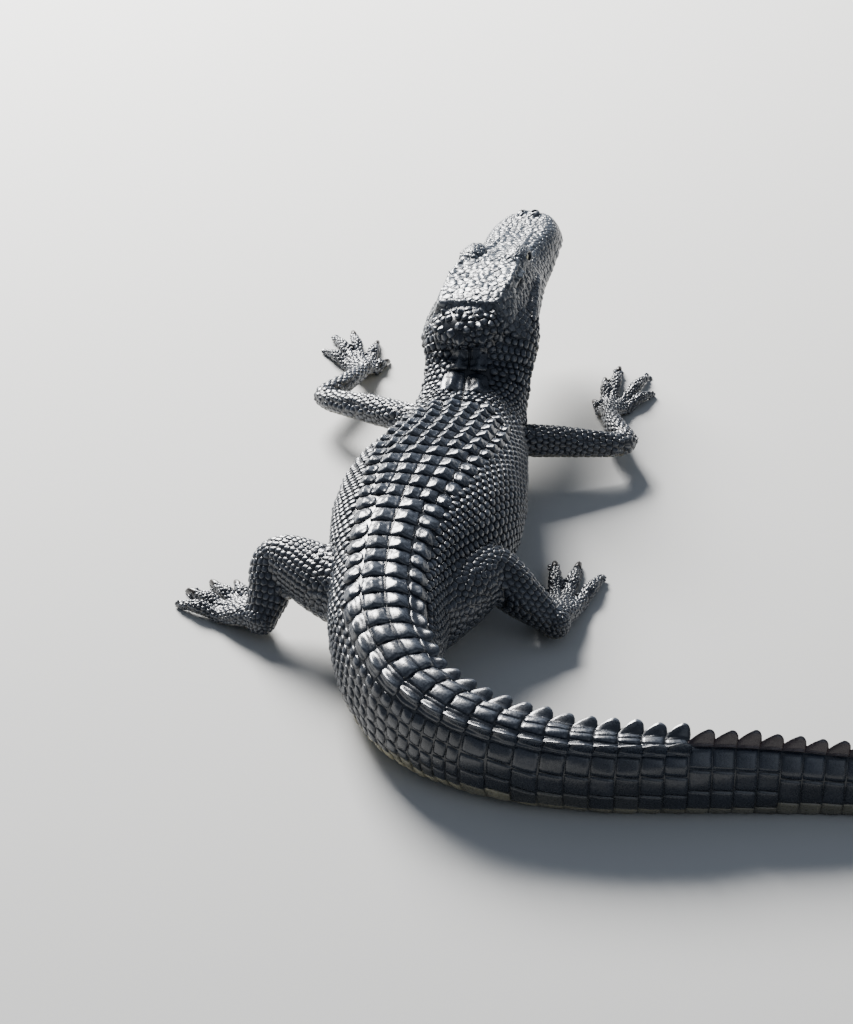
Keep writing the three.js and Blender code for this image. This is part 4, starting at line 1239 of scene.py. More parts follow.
def tail_whorls():
    """Crest plates, the flat plates between and below them, and the plates of the sides."""
    crest, flat = [], []
    along, whorl = WHORL_PITCH / 2, 0
    while along < TAIL_LONG - 8:
        share = along / TAIL_LONG
        pitch = WHORL_PITCH * (1.03 - 0.42 * share * share)
        length = TAIL_START + along
        near_root = max(0, (MERGE - whorl) / MERGE)
        merged = 1 - near_root
        girth = girth_at(length)
        if whorl < MERGE:
            side = 5.8 + 27.2 * near_root ** 0.8
            base = 10.5 + 12.5 * near_root
            for hand in (-1, 1):
                crest.append(dict(
                    length=length, across=hand * (side + base * 0.08), wide=base, long=pitch * 1.13,
                    round=0.1 + 0.22 * near_root, edge=1.6,
                    keel=(5.5 + 9 * merged ** 0.7) * rng.normal(1, 0.05),
                    seed=rng.uniform(0, 6), front=0.1, broad=0.42 + 0.25 * merged,
                    overhang=0.1 + 0.1 * merged, flare=0.04, fin=min(1, 0.2 + 2 * merged),
                    worn_and_sheen=0.8 + 0.7 * merged))
            inner = side - base * 0.42
            if inner > 3:
                halves = (-0.5, 0.5) if inner > 6 else (0,)
                for half in halves:
                    flat.append(dict(
                        length=length - 0.5, across=half * inner,
                        wide=inner * (0.97 if len(halves) == 2 else 1.9), long=pitch * 0.96,
                        round=0.1, edge=1.8, keel=3.2 * near_root ** 1.5, seed=rng.uniform(0, 6),
                        front=0.3, broad=0.5, worn_and_sheen=0.5))
            start = side + base * 0.62
        else:
            fade = max(0, 1 - (share - 0.4) / 0.6)
            crest.append(dict(length=length, across=0, wide=6.6 + 1.8 * fade, long=pitch * 1.16, round=0.1,
                              edge=1.2, keel=(6.5 + 9.5 * math.sqrt(fade)) * rng.normal(1, 0.04),
                              seed=rng.uniform(0, 6), front=0.1, broad=0.66, overhang=0.2, flare=0,
                              fin=1, single=True, worn_and_sheen=3.0))
            start = 4.4 + fade
        raised = max(0.0, 1 - whorl / 10)
        count = max(2, round((girth - start) / (8.5 + 15 * min(1, whorl / 12)))) if whorl < 26 else 2
        room = girth - start - 1.2
        rows = 2 if whorl < 8 else 1
        for row in range(rows):
            for step in range(count):
                for hand in (-1, 1):
                    low = (step + 0.5) / count
                    flat.append(dict(
                        length=length + (row - (rows - 1) / 2) * pitch / 2 + rng.normal(0, 0.25),
                        across=hand * (start + room * low), wide=room / count * (0.975 - 0.12 * raised),
                        long=pitch / rows * (0.97 - 0.06 * raised), round=0.05 + 0.4 * raised,
                        edge=rng.normal(1.2, 0.08), keel=2.0 * raised * (1 - low * low),
                        seed=rng.uniform(0, 6), front=0.3, flare=0, rim=0.14 + 0.16 * raised))
        along += pitch
        whorl += 1
    return crest, flat


crest_plates, tail_plates = tail_whorls()
print("crest plates", len(crest_plates))

# %% [markdown]
# The belly is paved with flat square plates in straight rows. The photo doesn't show them, so they
# follow the species: as many to a row as the girth has room for.
# %% Plates of the belly
BELLY_START = 78
BELLY_PITCH = 12.0
BELLY_PLATE = 10.5


def belly_half(girth):
    """How far the belly plates reach up from the midline below."""
    return np.minimum(62, girth * 0.42)


def belly_plates():
    """Square plates in rows across the belly, from the collar to the vent."""
    plates = []
    for row in range(int((TAIL_START + 8 - BELLY_START) // BELLY_PITCH)):
        length = BELLY_START + row * BELLY_PITCH
        girth = girth_at(length)
        half = belly_half(girth)
        count = max(3, int(half / BELLY_PLATE))
        for step in range(count):
            for hand in (-1, 1):
                plates.append(dict(
                    length=length, across=hand * (girth - (step + 0.5) * half / count),
                    wide=half / count * 0.94, long=BELLY_PITCH * 0.93, round=0.12, edge=0.9, keel=0,
                    seed=rng.uniform(0, 6), front=0.5, flare=0))
    return plates


print("plates:", len(back_scutes()), "on the back,", len(crest_plates), "crest,", len(tail_plates), "tail")

# %% [markdown]
# The plates are joined into a few coats, because ten thousand objects would be slow to handle. Each
# point keeps the colour of the hide at its root, a little lighter along keels and edges, from wear
# and as a painted sheen, and its patch on the flat map of the hide.
# %% Coats
PATCH = 0.003
LOWEST = 0.25
RUST_SHARE = 0.42
WORN_AND_SHEEN_FROM = 3.4


def put_coat(name, points, faces, colours, wear_and_sheen, uv):
    """A joined mesh of many small closed pieces; points in millimetres, faces by size."""
    mesh = bpy.data.meshes.new(name)
    sizes = np.concatenate([np.full(len(f), f.shape[1]) for f in faces])
    corners = np.concatenate([f.ravel() for f in faces]).astype(np.int32)
    mesh.vertices.add(len(points))
    mesh.vertices.foreach_set("co", (points * MM).ravel())
    mesh.loops.add(len(corners))
    mesh.loops.foreach_set("vertex_index", corners)
    mesh.polygons.add(len(sizes))
    mesh.polygons.foreach_set("loop_start", np.concatenate([[0], np.cumsum(sizes)[:-1]]).astype(np.int32))
    mesh.polygons.foreach_set("use_smooth", np.ones(len(sizes), bool))
    mesh.update(calc_edges=True)
    tone = mesh.color_attributes.new("tone", "FLOAT_COLOR", "POINT")
    tone.data.foreach_set("color", np.column_stack([colours, np.ones(len(colours))]).ravel())
    # wear and painted sheen: each point's share of its height, which the finish makes pale
    worn_and_sheen = mesh.attributes.new("wear_and_sheen", "FLOAT", "POINT")
    worn_and_sheen.data.foreach_set("value", wear_and_sheen.astype(np.float32))
    flat_map = mesh.uv_layers.new(name="OFBake")
    flat_map.data.foreach_set("uv", uv[corners].astype(np.float32).ravel())
    mesh.validate()
    piece = bpy.data.objects.new(name, mesh)
    bpy.context.scene.collection.objects.link(piece)
    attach(piece, "root")
    print(name, len(points), "points", int((sizes - 2).sum()), "triangles")
    return piece


print("a patch is", PATCH, "of the flat map")

# %% [markdown]
# Horn is palest along keels and edges, partly from wear and partly as a painted sheen, so each
# point keeps its height as a measure of both. A plate takes the colour of the hide at its root, a
# little different from its neighbours, as on the animal.
# %% From plates to a coat
def patches(roots_uv, shape):
    """A patch of the flat map for each piece, from its own shape seen from above."""
    span = np.abs(shape).max(axis=(1, 2), keepdims=True) + 1e-9
    return roots_uv[:, None] + shape / span * (PATCH / 2)


def number_on(kinds, count, each):
    """The faces of one piece, given by size, numbered on for all its copies."""
    start = (np.arange(count) * each)[:, None, None]
    return [(rows[None] + start).reshape(-1, rows.shape[1]) for rows in kinds]


def coat_of_plates(name, plates, blank):
    points, high, roots = (lay_on_hide if "root" in plates[0] else lay_plates)(plates, blank)
    count, each = points.shape[:2]
    points[..., 2] = np.maximum(points[..., 2], LOWEST)
    where = locate(roots)
    tone = markings(roots, where) * rng.normal(1, 0.07, (count, 1))
    single = np.array([plate.get("single", False) for plate in plates])
    tone = np.where(single[:, None], mix(tone, RUST, np.full(count, RUST_SHARE)), tone)
    colours = np.repeat(tone[:, None], each, 1)
    # the higher a point of a plate stands the paler it is made: wear, and a painted sheen on keels and
    # edges
    power = np.array([plate.get("worn_and_sheen", 1.5) for plate in plates])[:, None]
    wear_and_sheen = np.clip(high / np.maximum(high.max(axis=1, keepdims=True), WORN_AND_SHEEN_FROM), 0, 1) ** power
    uv = patches(unwrap(where), np.repeat(blank[0][None, :, :2], count, 0))
    by_size = {}
    for face in blank[1]:
        by_size.setdefault(len(face), []).append(face)
    faces = number_on([np.array(rows) for rows in by_size.values()], count, each)
    return put_coat(name, points.reshape(-1, 3), faces, colours.reshape(-1, 3), wear_and_sheen.ravel(),
                    uv.reshape(-1, 2))


coats = [coat_of_plates("back_scutes", back_scutes(), BLANK),
         coat_of_plates("neck_scutes", neck_plates, BLANK),
         coat_of_plates("tail_crest", crest_plates, BLANK),
         coat_of_plates("tail_plates", tail_plates, SMALL_BLANK),
         coat_of_plates("belly_plates", belly_plates(), SMALL_BLANK)]

# %% [markdown]
# Everywhere else the hide is paved with small scales that share the skin between them as cobbles
# do: large on the flanks, smaller on the limbs, tiny round the eyes. One function says how large,
# and all that follows asks it.
# %% How large the scales are


def scale_size(points, where):
    """Half the width of a scale at each place, in millimetres."""
    part, along, low = where["part"], where["along"], -np.sin(where["angle"])
    trunk, head = part == BODY_PART, part == HEAD_PART
    size = np.where(along < 150, 3.6, 4.1) - 0.7 * smoothstep(low, -0.2, 0.4)
    local = head_local(points)
    top = (local[:, 2] > 0.16) & (local[:, 1] < 0.3)
    face = 3.4 + 1.2 * top - 0.9 * smoothstep(local[:, 1], 0.55, 0.95) + 0.5 * (local[:, 2] < -0.05)
    face = face - 2.2 * (1 - smoothstep(from_eye(local, 0.02), 0.03, 0.10))
    nape = (np.abs(local[:, 0] - 0.02) < 0.13) * (local[:, 2] > 0.02)
    face = face - 1.5 * smoothstep(-local[:, 1], 0.02, 0.06) * nape
    size = np.where(head, np.maximum(face, 1.5), size)
    for k, limb in enumerate(LIMBS):
        reach = smoothstep(along, limb["long"] * 0.75, limb["long"] + 25)
        leg = 3.5 - 1.2 * reach - 0.8 * smoothstep(low, 0.2, 0.7) * (1 - reach)
        size = np.where(part == FIRST_LIMB + k, leg, size)
    return np.where(trunk & (along > TAIL_START - 30), np.minimum(size, 4.0), size)


snout = head_point([[0, 0.9, 0.1]])
print("half a scale on the snout", scale_size(snout, locate(snout)).round(2).tolist(), "mm")

# %% [markdown]
# On neck, flanks, lips and limbs the scales stand in rows, and the eye notices when they don't. The
# rows are set out on the map and along the limbs, every second one shifted by half a scale, as
# bricks are.
# %% Rows of scales
def rows_on_trunk():
    """Rows of neck and flank scales, from the midline of the back down to the belly."""
    places = []
    for first, last, pitch, wide in ((8, 150, 7.8, 7.2), (150, TAIL_START + 8, ROW_PITCH / 2.5, 7.8)):
        for row in range(int((last - first) // pitch)):
            length = first + row * pitch
            for step in range(20):
                across = (step + 0.5 * (row % 2) + 0.5) * wide
                if across < girth_at(length) - 2:
                    places.extend([(length, across), (length, -across)])
    return np.array(places)


def rows_on_lips():
    """The plates along both lips, one row above the mouth line and one below."""
    points = []
    for lower in (0, 1):
        for along in np.arange(0.16, 0.985, 0.030):
            row = between(HEAD, np.interp(along, HEAD[:, 0], np.arange(len(HEAD))))
            side, height = (row[6], row[4] - 0.019) if lower else (row[1], row[4] + 0.021)
            points.extend([(side, along, height), (-side, along, height)])
    return head_point(np.array(points))


LIMB_ROW = 6.6
LIMB_SCALE = 7.2


def rows_on_limbs():
    """Slanting rows of scales round each limb."""
    points = []
    for limb in LIMBS:
        path, wide, tall = limb_path(limb)
        long = lengths_along(path)
        _, right, up = tube_frames(path)
        for k, stop in enumerate(np.arange(4, long[-1], LIMB_ROW)):
            middle = np.array([np.interp(stop, long, path[:, c]) for c in range(3)])
            i = int(np.interp(stop, long, np.arange(len(path))))
            count = max(8, int(2 * math.pi * wide[i] / LIMB_SCALE))
            turn = (np.arange(count) + 0.5 * (k % 2)) / count * 2 * math.pi
            points.append(middle + np.cos(turn)[:, None] * right[i] * wide[i]
                          + np.sin(turn)[:, None] * up[i] * tall[i])
    return np.concatenate(points)


print("places in rows", len(rows_on_trunk()) + len(rows_on_lips()) + len(rows_on_limbs()))

# %% [markdown]
# A scale under a plate would poke through it, and one on the rim of an eye, ear, nostril or lip
# would hide the opening. Both are found by simple shapes, because a test against each plate's mesh
# would take minutes.
# %% Where no scales stand
def shield_half(length):
    rows = ROW_START + np.arange(ROWS) * ROW_PITCH
    width = np.interp(length, rows, np.array(SHIELD_WIDTH) / 2)
    return np.where(length < ROW_START - ROW_PITCH * 0.55, 0, width)


def under_plates(where, points):
    """True where plates of the back, tail or belly already cover the hide."""
    trunk, along = where["part"] == BODY_PART, where["along"]
    across = tape_from_midline(where)
    covered = trunk & (np.abs(across) < shield_half(along) - 2.0) & (along < TAIL_START + 4)
    covered |= trunk & (along > TAIL_START + 1)
    for plate in neck_plates:
        offset = points - plate["root"]
        inside = np.abs(offset @ plate["normal"]) < 9
        for way, size in (("lie", "long"), ("side", "wide")):
            inside &= np.abs(offset @ plate[way]) < plate[size] * 0.5 + 0.3
        covered |= inside
    girth = girth_at(along)
    belly = np.abs(across) > girth - belly_half(girth) + 2
    return covered | (trunk & (along > BELLY_START - 6) & (along < TAIL_START + 2) & belly)


def tape_from_midline(where):
    """Distance round the body from the midline of the back, by its angle."""
    angle = np.where(where["angle"] < -math.pi / 2, where["angle"] + 2 * math.pi, where["angle"])
    rows = np.clip((where["along"] / MAP_STEP).round().astype(int), 0, len(map_lengths) - 1)
    ring = map_points[rows]
    mark = {key: values[where["mark"]] for key, values in LANDMARKS.items()}
    offset = ring - mark["middle"][:, None]
    x = np.einsum("ijk,ik->ij", offset, mark["right"]) / mark["half"][:, None]
    z = np.einsum("ijk,ik->ij", offset, mark["up"]) / mark["tall"][:, None]
    turned = np.arctan2(z, x)
    turned = np.where(turned < -math.pi / 2, turned + 2 * math.pi, turned)
    return map_across[np.argmin(np.abs(turned - angle[:, None]), axis=1)]


BARE_LIDS = ((EYE["x"] + 0.044, EYE["y"], 0.183), (0.044, 0.039, 0.0235))
BARE_EAR = ((0.157, 0.2, 0.164), (0.04, 0.086, 0.021))
BARE_NOSTRIL = ((0.029, 0.930, 0.126), (0.022, 0.022, 0.022))
BARE_PLACES = [BARE_LIDS, BARE_EAR, BARE_NOSTRIL]


def in_openings(points):
    """True at the rims and insides of the openings of the head, which stay bare."""
    local = head_local(points)
    side = np.abs(local[:, 0])
    mirrored = np.column_stack([side, local[:, 1:]])
    bare = from_eye(local) < EYE["radius"] + 0.003
    for centre, radii in BARE_PLACES:
        bare |= (((mirrored - centre) / radii) ** 2).sum(1) < 1
    mouth = np.interp(local[:, 1], HEAD[:, 0], HEAD[:, 4])
    lip = (np.abs(local[:, 2] - mouth) < 0.010) & (local[:, 1] > 0.12) & (local[:, 1] < 1.02)
    return bare | (lip & (side < 0.5))


print("bare places on each side of the head", len(BARE_PLACES))

# %% [markdown]
# Between the rows the scales lie without order. Random places are tried in turn and kept only where
# none is too near, which gives an even spread without a grid. Only the cells around a place are
# looked at, or it would take hours.
# %% Filling the gaps
DARTS = 100000
DART_CELL = 6.0
CELLS_AROUND = [(a, b, c) for a in (-1, 0, 1) for b in (-1, 0, 1) for c in (-1, 0, 1)]


def is_clear(place, size, others):
    """True where a scale has room beside others, each given by place and size."""
    x, y, z = place
    for px, py, pz, other in others:
        gap = 0.86 * (size + other)
        if (x - px) ** 2 + (y - py) ** 2 + (z - pz) ** 2 < gap * gap:
            return False
    return True


def throw_darts(points, sizes):
    """Keeps each point in turn if no kept one is too close; returns what it kept."""
    grid, kept = {}, []
    cells = np.floor(points / DART_CELL).astype(int).tolist()
    for n, (place, size, (i, j, k)) in enumerate(zip(points.tolist(), sizes.tolist(), cells)):
        close = [other for a, b, c in CELLS_AROUND for other in grid.get((i + a, j + b, k + c), ())]
        if is_clear(place, size, close):
            kept.append(n)
            grid.setdefault((i, j, k), []).append((*place, size))
    return np.array(kept)


def sprinkle(piece, count):
    """Random places on the hide, closer together where the scales are smaller."""
    piece.data.calc_loop_triangles()
    corners = read_rows(piece.data.loop_triangles, "vertices", 3, np.int32)
    a, b, c = (hide_points[corners[:, k]] for k in range(3))
    middle = (a + b + c) / 3
    area = np.linalg.norm(np.cross(b - a, c - a), axis=1) / 2
    where = locate(middle)
    weight = area / scale_size(middle, where) ** 2 * ~under_plates(where, middle)
    chosen = rng.choice(len(area), count, p=weight / weight.sum())
    u, v = rng.random((2, count, 1))
    u, v = np.where(u + v > 1, 1 - u, u), np.where(u + v > 1, 1 - v, v)
    a, b, c = a[chosen], b[chosen], c[chosen]
    return a + (b - a) * u + (c - a) * v, unit(np.cross(b - a, c - a))


print("darts", DARTS)

# %% [markdown]
# Darts leave uneven gaps. A few rounds in which every scale pushes its neighbours away, and is put
# back on the hide, even them out; scales in rows give way least.
# %% Pushing the scales apart
def neighbours(centres, count):
    """The closest other centres of each centre."""
    tree = KDTree(len(centres))
    for n, centre in enumerate(centres.tolist()):
        tree.insert(centre, n)
    tree.balance()
    return np.array([[hit[1] for hit in tree.find_n(centre, count + 1)][1:] for centre in centres.tolist()])


AROUND = 7


def spread(centres, sizes, ease, rounds=6):
    """Lets the scales push each other apart until the gaps between them are even."""
    for _ in range(rounds):
        close = neighbours(centres, AROUND)
        offset = centres[:, None] - centres[close]
        far = np.linalg.norm(offset, axis=2) + 1e-6
        push = np.clip(1.08 * (sizes[:, None] + sizes[close]) - far, 0, 3.0)
        centres = centres + ease[:, None] * 0.4 * (offset / far[..., None] * push[..., None]).sum(1)
        centres, normals = onto_hide(centres)
    return centres, unit(normals)


print("neighbours that push a scale", AROUND)

# %% [markdown]
# First the rows, then the darts. What lands under a plate, in an opening, at a claw or where the
# belly rests on the floor is dropped. The way a scale faces is averaged with its neighbours, and
# where they disagree the fold is too sharp for it.
# %% Setting out the scales
rows_placed = rows_on_trunk()
rows_placed = np.concatenate([rows_on_lips(), read_map(map_points, rows_placed[:, 0], rows_placed[:, 1]),
                              rows_on_limbs()])
rows_placed, row_normals = onto_hide(rows_placed)
loose, loose_normals = sprinkle(flesh, DARTS)
centres = np.concatenate([rows_placed, loose])
normals = unit(np.concatenate([row_normals, loose_normals]))
ease = np.concatenate([np.full(len(rows_placed), 0.25), np.ones(len(loose))])


CLAW_CLEARANCE = 5.4
CLAW_ROOTS = np.array([digit_path(limb, n)[4] for limb in LIMBS for n in range(CLAWED_DIGITS)])


def still_open(centres, normals, where):
    free = ~(under_plates(where, centres) | in_openings(centres)) & (centres[:, 2] > 0.6)
    free &= np.linalg.norm(centres[:, None] - CLAW_ROOTS, axis=2).min(1) > CLAW_CLEARANCE
    return free & ~((normals[:, 2] < -0.97) & (centres[:, 2] < 1.5))


free = still_open(centres, normals, locate(centres))
centres, normals, ease = centres[free], normals[free], ease[free]
sizes = scale_size(centres, locate(centres)) * np.where(ease < 1, 1, rng.uniform(0.8, 1.05, len(ease)))
kept = throw_darts(centres, sizes)
centres, sizes, ease = centres[kept], sizes[kept], ease[kept]
centres, normals = spread(centres, sizes, ease)
around = neighbours(centres, AROUND)
alike = np.maximum(np.einsum("ijk,ik->ij", normals[around], normals), 0)[..., None]
normals = (normals + (normals[around] * alike).sum(1)) / (AROUND + 1)
smooth = np.linalg.norm(normals, axis=1)
normals = unit(normals)
where = locate(centres)
in_front = head_local(centres)[:, 1] > 0.08
enough = np.where(where["part"] == HEAD_PART, np.where(in_front, 0.58, 0.35), 0.25)
free = still_open(centres, normals, where) & (smooth > enough)
centres, normals, sizes = centres[free], normals[free], sizes[free]
where = {key: value[free] for key, value in where.items()}
print("scales", len(centres))

# %% [markdown]
# Two scales share their border about half way, nearer to the smaller one. A true cell diagram on a
# curved hide is slow; reaching out in a dozen directions to the nearest border gives the same
# outline, with rounded corners.
# %% Outlines of the scales


def reach_of(centres, normals, lie, sizes, spokes):
    """How far each scale reaches in each direction before it meets a neighbour half way."""
    close = neighbours(centres, 14)
    right = np.cross(lie, normals)
    offset = centres[close] - centres[:, None]
    x = np.einsum("ijk,ik->ij", offset, right)
    y = np.einsum("ijk,ik->ij", offset, lie)
    far = np.hypot(x, y) + 1e-6
    alike = np.einsum("ijk,ik->ij", normals[close], normals) > 0.1
    share = sizes[:, None] / (sizes[:, None] + sizes[close])
    spoke = np.arange(spokes) / spokes * 2 * math.pi
    facing = np.cos(spoke[None, None] - np.arctan2(x, y)[:, :, None])
    bound = (far * share)[:, :, None] / np.maximum(facing, 0.08)
    bound = np.where((facing > 0.08) & alike[:, :, None], bound, 1e3)
    # a high power takes nearly the smallest of the reaches, but rounds the corners a little
    limit = (sizes * 1.5)[:, None]
    rim = ((bound ** -14.0).sum(1) + limit ** -14.0) ** (-1 / 14.0)
    return rim, right, spoke


SCALE_LIE = unit(where["lie"] - normals * np.einsum("ij,ij->i", where["lie"], normals)[:, None])
REACHES = {spokes: reach_of(centres, normals, SCALE_LIE, sizes, spokes) for spokes in (12, 14)}
print("mean reach", REACHES[12][0].mean().round(2), "mm")

# %% [markdown]
# A small scale is sunk into the skin at its foot, rises steeply, rounds over a shoulder, and its
# free edge stands a little higher than its root. Four rings of points are enough for that, and each
# ring is dropped on the hide, so that none floats or sinks.
# %% Small scales
CROWN_RING = 0.42
ROOT_DEPTH = 1.4


def scale_faces(spokes):
    """The faces of one small scale: walls between its four rings, a top and a bottom."""
    s = np.arange(spokes)
    after = (s + 1) % spokes
    crown, bottom = 4 * spokes, 4 * spokes + 1
    walls = []
    for k in range(3):
        low, high = k * spokes, (k + 1) * spokes
        walls.append(np.stack([low + s, high + s, high + after, low + after], 1))
    above = np.stack([3 * spokes + s, np.full(spokes, crown), 3 * spokes + after], 1)
    below = np.stack([s, after, np.full(spokes, bottom)], 1)
    return np.concatenate(walls), np.concatenate([above, below])


def scales(name, chosen, spokes, high, keel, tilt, gap=0.5, top=0.80):
    """A coat of small scales, each a low dome whose free edge stands up a little."""
    rim, side, spoke = REACHES[spokes]
    rim, side = np.maximum(rim[chosen] - gap / 2, 0.5), side[chosen][:, None]
    count = len(rim)
    centre, normal, lie = (grid[chosen][:, None] for grid in (centres, normals, SCALE_LIE))
    high = np.broadcast_to(high, (count,)) * rng.normal(1, 0.1, count)
    keel, tilt = np.broadcast_to(keel, (count,)), np.broadcast_to(tilt, (count,))
    aside, forward = np.sin(spoke)[None], np.cos(spoke)[None]
    rings, heights = [], []
    for out, rise in ((1.0, 0.30), (top, 0.86), (CROWN_RING, 1.0)):
        reach = rim * out
        z = high[:, None] * rise * (1 + tilt[:, None] * forward * out)
        ridge = np.clip(1 - np.abs(aside) * out / 0.45, 0, 1) * (0.35 + 0.65 * (forward + 1) / 2)
        z = z + keel[:, None] * ridge * (1 - 0.25 * out)
        flat = centre + side * (aside * reach)[..., None] + lie * (forward * reach)[..., None]
        flat = down_to_hide(flat, normal, 5.0)
        if not rings:
            rings.append(centre + (flat - centre) * 0.96 - normal * ROOT_DEPTH)
            heights.append(np.full(rim.shape, -ROOT_DEPTH))
        rings.append(flat + normal * z[..., None])
        heights.append(z)
    crown = centre + normal * (high + keel)[:, None, None]
    points = np.concatenate([*rings, crown, centre - normal * ROOT_DEPTH], 1)
    tall = np.concatenate([*heights, (high + keel)[:, None], np.full((count, 1), -ROOT_DEPTH)], 1)
    points[..., 2] = np.maximum(points[..., 2], LOWEST)
    each = points.shape[1]
    faces = number_on(scale_faces(spokes), count, each)
    mine = {key: value[chosen] for key, value in where.items()}
    tone = markings(centre[:, 0], mine) * rng.normal(1, 0.09, (count, 1))
    colours = np.repeat(tone[:, None], each, 1)
    # the higher a point of a scale stands the paler it is made: wear, and a painted sheen on crowns and
    # keels
    wear_and_sheen = np.clip(tall / (high + keel + 0.01)[:, None], 0, 1) ** 1.5 * 0.8
    ring = np.column_stack([aside[0], forward[0]])
    flat = np.concatenate([ring * 0.96, ring, ring * 0.8, ring * CROWN_RING, [[0, 0], [0, 0]]])
    uv = patches(unwrap(mine), np.repeat(flat[None], count, 0))
    return put_coat(name, points.reshape(-1, 3), faces, colours.reshape(-1, 3), wear_and_sheen.ravel(),
                    uv.reshape(-1, 2))


print("faces of a scale", sum(len(part) for part in scale_faces(12)))

# %% [markdown]
# The coats differ in height, keel and tilt: high and keeled on neck and flanks, low and smooth on
# the skull, beads on the limbs. Flanks and limbs are pieces of their own, so that none grows too
# large.
# %% The coats of scales
part, low, along = where["part"], -np.sin(where["angle"]), where["along"]
on_neck = (part == BODY_PART) & (along < 140)
on_flank = (part == BODY_PART) & ~on_neck
on_head = part == HEAD_PART
above = smoothstep(-low, -0.5, 0.1)
local = head_local(centres)
mouth = np.interp(local[:, 1], HEAD[:, 0], HEAD[:, 4])
on_skull, on_jaw = on_head & (local[:, 2] > mouth), on_head & (local[:, 2] <= mouth)
coats += [
    scales("neck_scales", on_neck, 14, high=1.0 + 0.9 * above[on_neck], keel=0.5 * above[on_neck],
           tilt=0.2),
    scales("skull_scales", on_skull, 14, high=0.22 + 0.07 * sizes[on_skull], keel=0.0, tilt=0.04,
           gap=0.2, top=0.86),
    scales("jaw_scales", on_jaw, 12, high=0.22 + 0.08 * sizes[on_jaw], keel=0.0, tilt=0.05,
           gap=0.26),
]
for side, hand in (("left", -1), ("right", 1)):
    mine = on_flank & (np.cos(where["angle"]) * hand > 0)
    coats.append(scales(f"flank_scales_{side}", mine, 14, high=1.1 + 0.8 * above[mine],
                        keel=0.9 * above[mine], tilt=0.25))
for k, name in enumerate(("arm_left", "arm_right", "leg_left", "leg_right")):
    mine = part == FIRST_LIMB + k
    coats.append(scales(f"{name}_scales", mine, 12, high=0.5 + 0.16 * sizes[mine],
                        keel=0.5 * above[mine], tilt=0.3, gap=0.35))

# %% [markdown]
# The eyes are balls a little smaller than their sockets, so that a thin dark gap shows along the
# lids. The solids have the same ball, and only a rounder one of Blender's own making is needed.
# %% Eyes
EYE_RADIUS = EYE["radius"] * HEAD_LENGTH * MM
eyes = []
for hand, side in ((-1, "left"), (1, "right")):
    deselected()
    bpy.ops.mesh.primitive_uv_sphere_add(segments=48, ring_count=32, radius=EYE_RADIUS)
    eye = bpy.context.object
    eye.name = f"eyeball_{side}"
    eye.data.transform(Matrix.Translation(Vector(head_point([hand * EYE["x"], EYE["y"], EYE["z"]])) * MM))
    bpy.ops.object.shade_smooth()
    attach(eye, "root")
    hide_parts(f"eye_{side}")
    eyes.append(eye)


print("eyes", len(eyes))

# %% [markdown]
# The three inner digits of each limb end in claws, blunt cones of horn that bend down. One is
# pulled out of a circle ring by ring, tapered and turned at each step, and twelve copies are set
# on, each along its own digit.
# %% Claws
def claw_blank(steps=8, sides=14):
    """A claw one unit long, pulled out ring by ring, tapered and bent downwards."""
    deselected()
    bpy.ops.mesh.primitive_circle_add(vertices=sides, radius=0.27, fill_type="NGON",
                                      rotation=(math.pi / 2, 0, 0))
    bpy.ops.object.transform_apply(rotation=True)
    blank = bpy.context.object
    bpy.ops.object.mode_set(mode="EDIT")
    bpy.ops.mesh.select_all(action="SELECT")
    centre, heading = Vector((0, 0, 0)), math.radians(14)
    bend = math.radians(8)
    for step in range(steps):
        pull = Vector((0, math.cos(heading), math.sin(heading))) / steps
        centre += pull
        bpy.ops.mesh.extrude_region_move(TRANSFORM_OT_translate={"value": pull})
        taper = 0.93 if step < steps - 3 else 0.74 if step < steps - 1 else 0.4
        bpy.ops.transform.resize(value=(taper * 0.98, taper, taper), center_override=centre)
        bpy.ops.transform.rotate(value=bend, orient_axis="X", center_override=centre)
        heading -= bend
    bpy.ops.mesh.select_all(action="SELECT")
    bpy.ops.mesh.normals_make_consistent(inside=False)
    bpy.ops.object.mode_set(mode="OBJECT")
    points = read_points(blank) * MM
    faces = [list(polygon.vertices) for polygon in blank.data.polygons]
    bpy.data.objects.remove(blank)
    return points, faces


claws = []
claw_points, claw_faces = claw_blank()
for limb in LIMBS:
    kind = limb["names"][2]
    for n in range(CLAWED_DIGITS):
        way, end = digit_path(limb, n)[3:]
        long = CLAW_LONG[kind] + 3
        axes = np.stack([np.cross(way, [0.0, 0.0, 1.0]), way, [0.0, 0.0, 1.0]])
        placed = claw_points * [long * 0.86, long, long] @ axes + end - way * 3 + [0, 0, 0.4]
        placed[:, 2] = np.maximum(placed[:, 2], ABOVE_FLOOR)
        claw = put_mesh(f"horn_claw_{kind}_{limb['side']}_{n + 1}", placed, claw_faces)
        for polygon in claw.data.polygons:
            polygon.use_smooth = True
        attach(claw, "root")
        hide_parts(f"claw_{kind}_{limb['side']}_{n + 1}")
        claws.append(claw)
print("claws", len(claws))

# %% [markdown]
# A plain pale floor of matt paint, so that only the animal gleams, and soft daylight: one large
# window beyond the head to the left, low enough to slide along the back and light the hind edge of
# every scute, a dim one behind the camera, and a faint blue sky all round.
# %% Floor and light
def area_light(name, place, target, size, power, colour):
    lamp = bpy.data.objects.new(name, bpy.data.lights.new(name, "AREA"))
    lamp.data.size = size
    lamp.data.energy = power
    lamp.data.color = colour
    lamp.location = place
    lamp.rotation_euler = (Vector(target) - Vector(place)).to_track_quat("-Z", "Y").to_euler()
    bpy.context.scene.collection.objects.link(lamp)
    return lamp


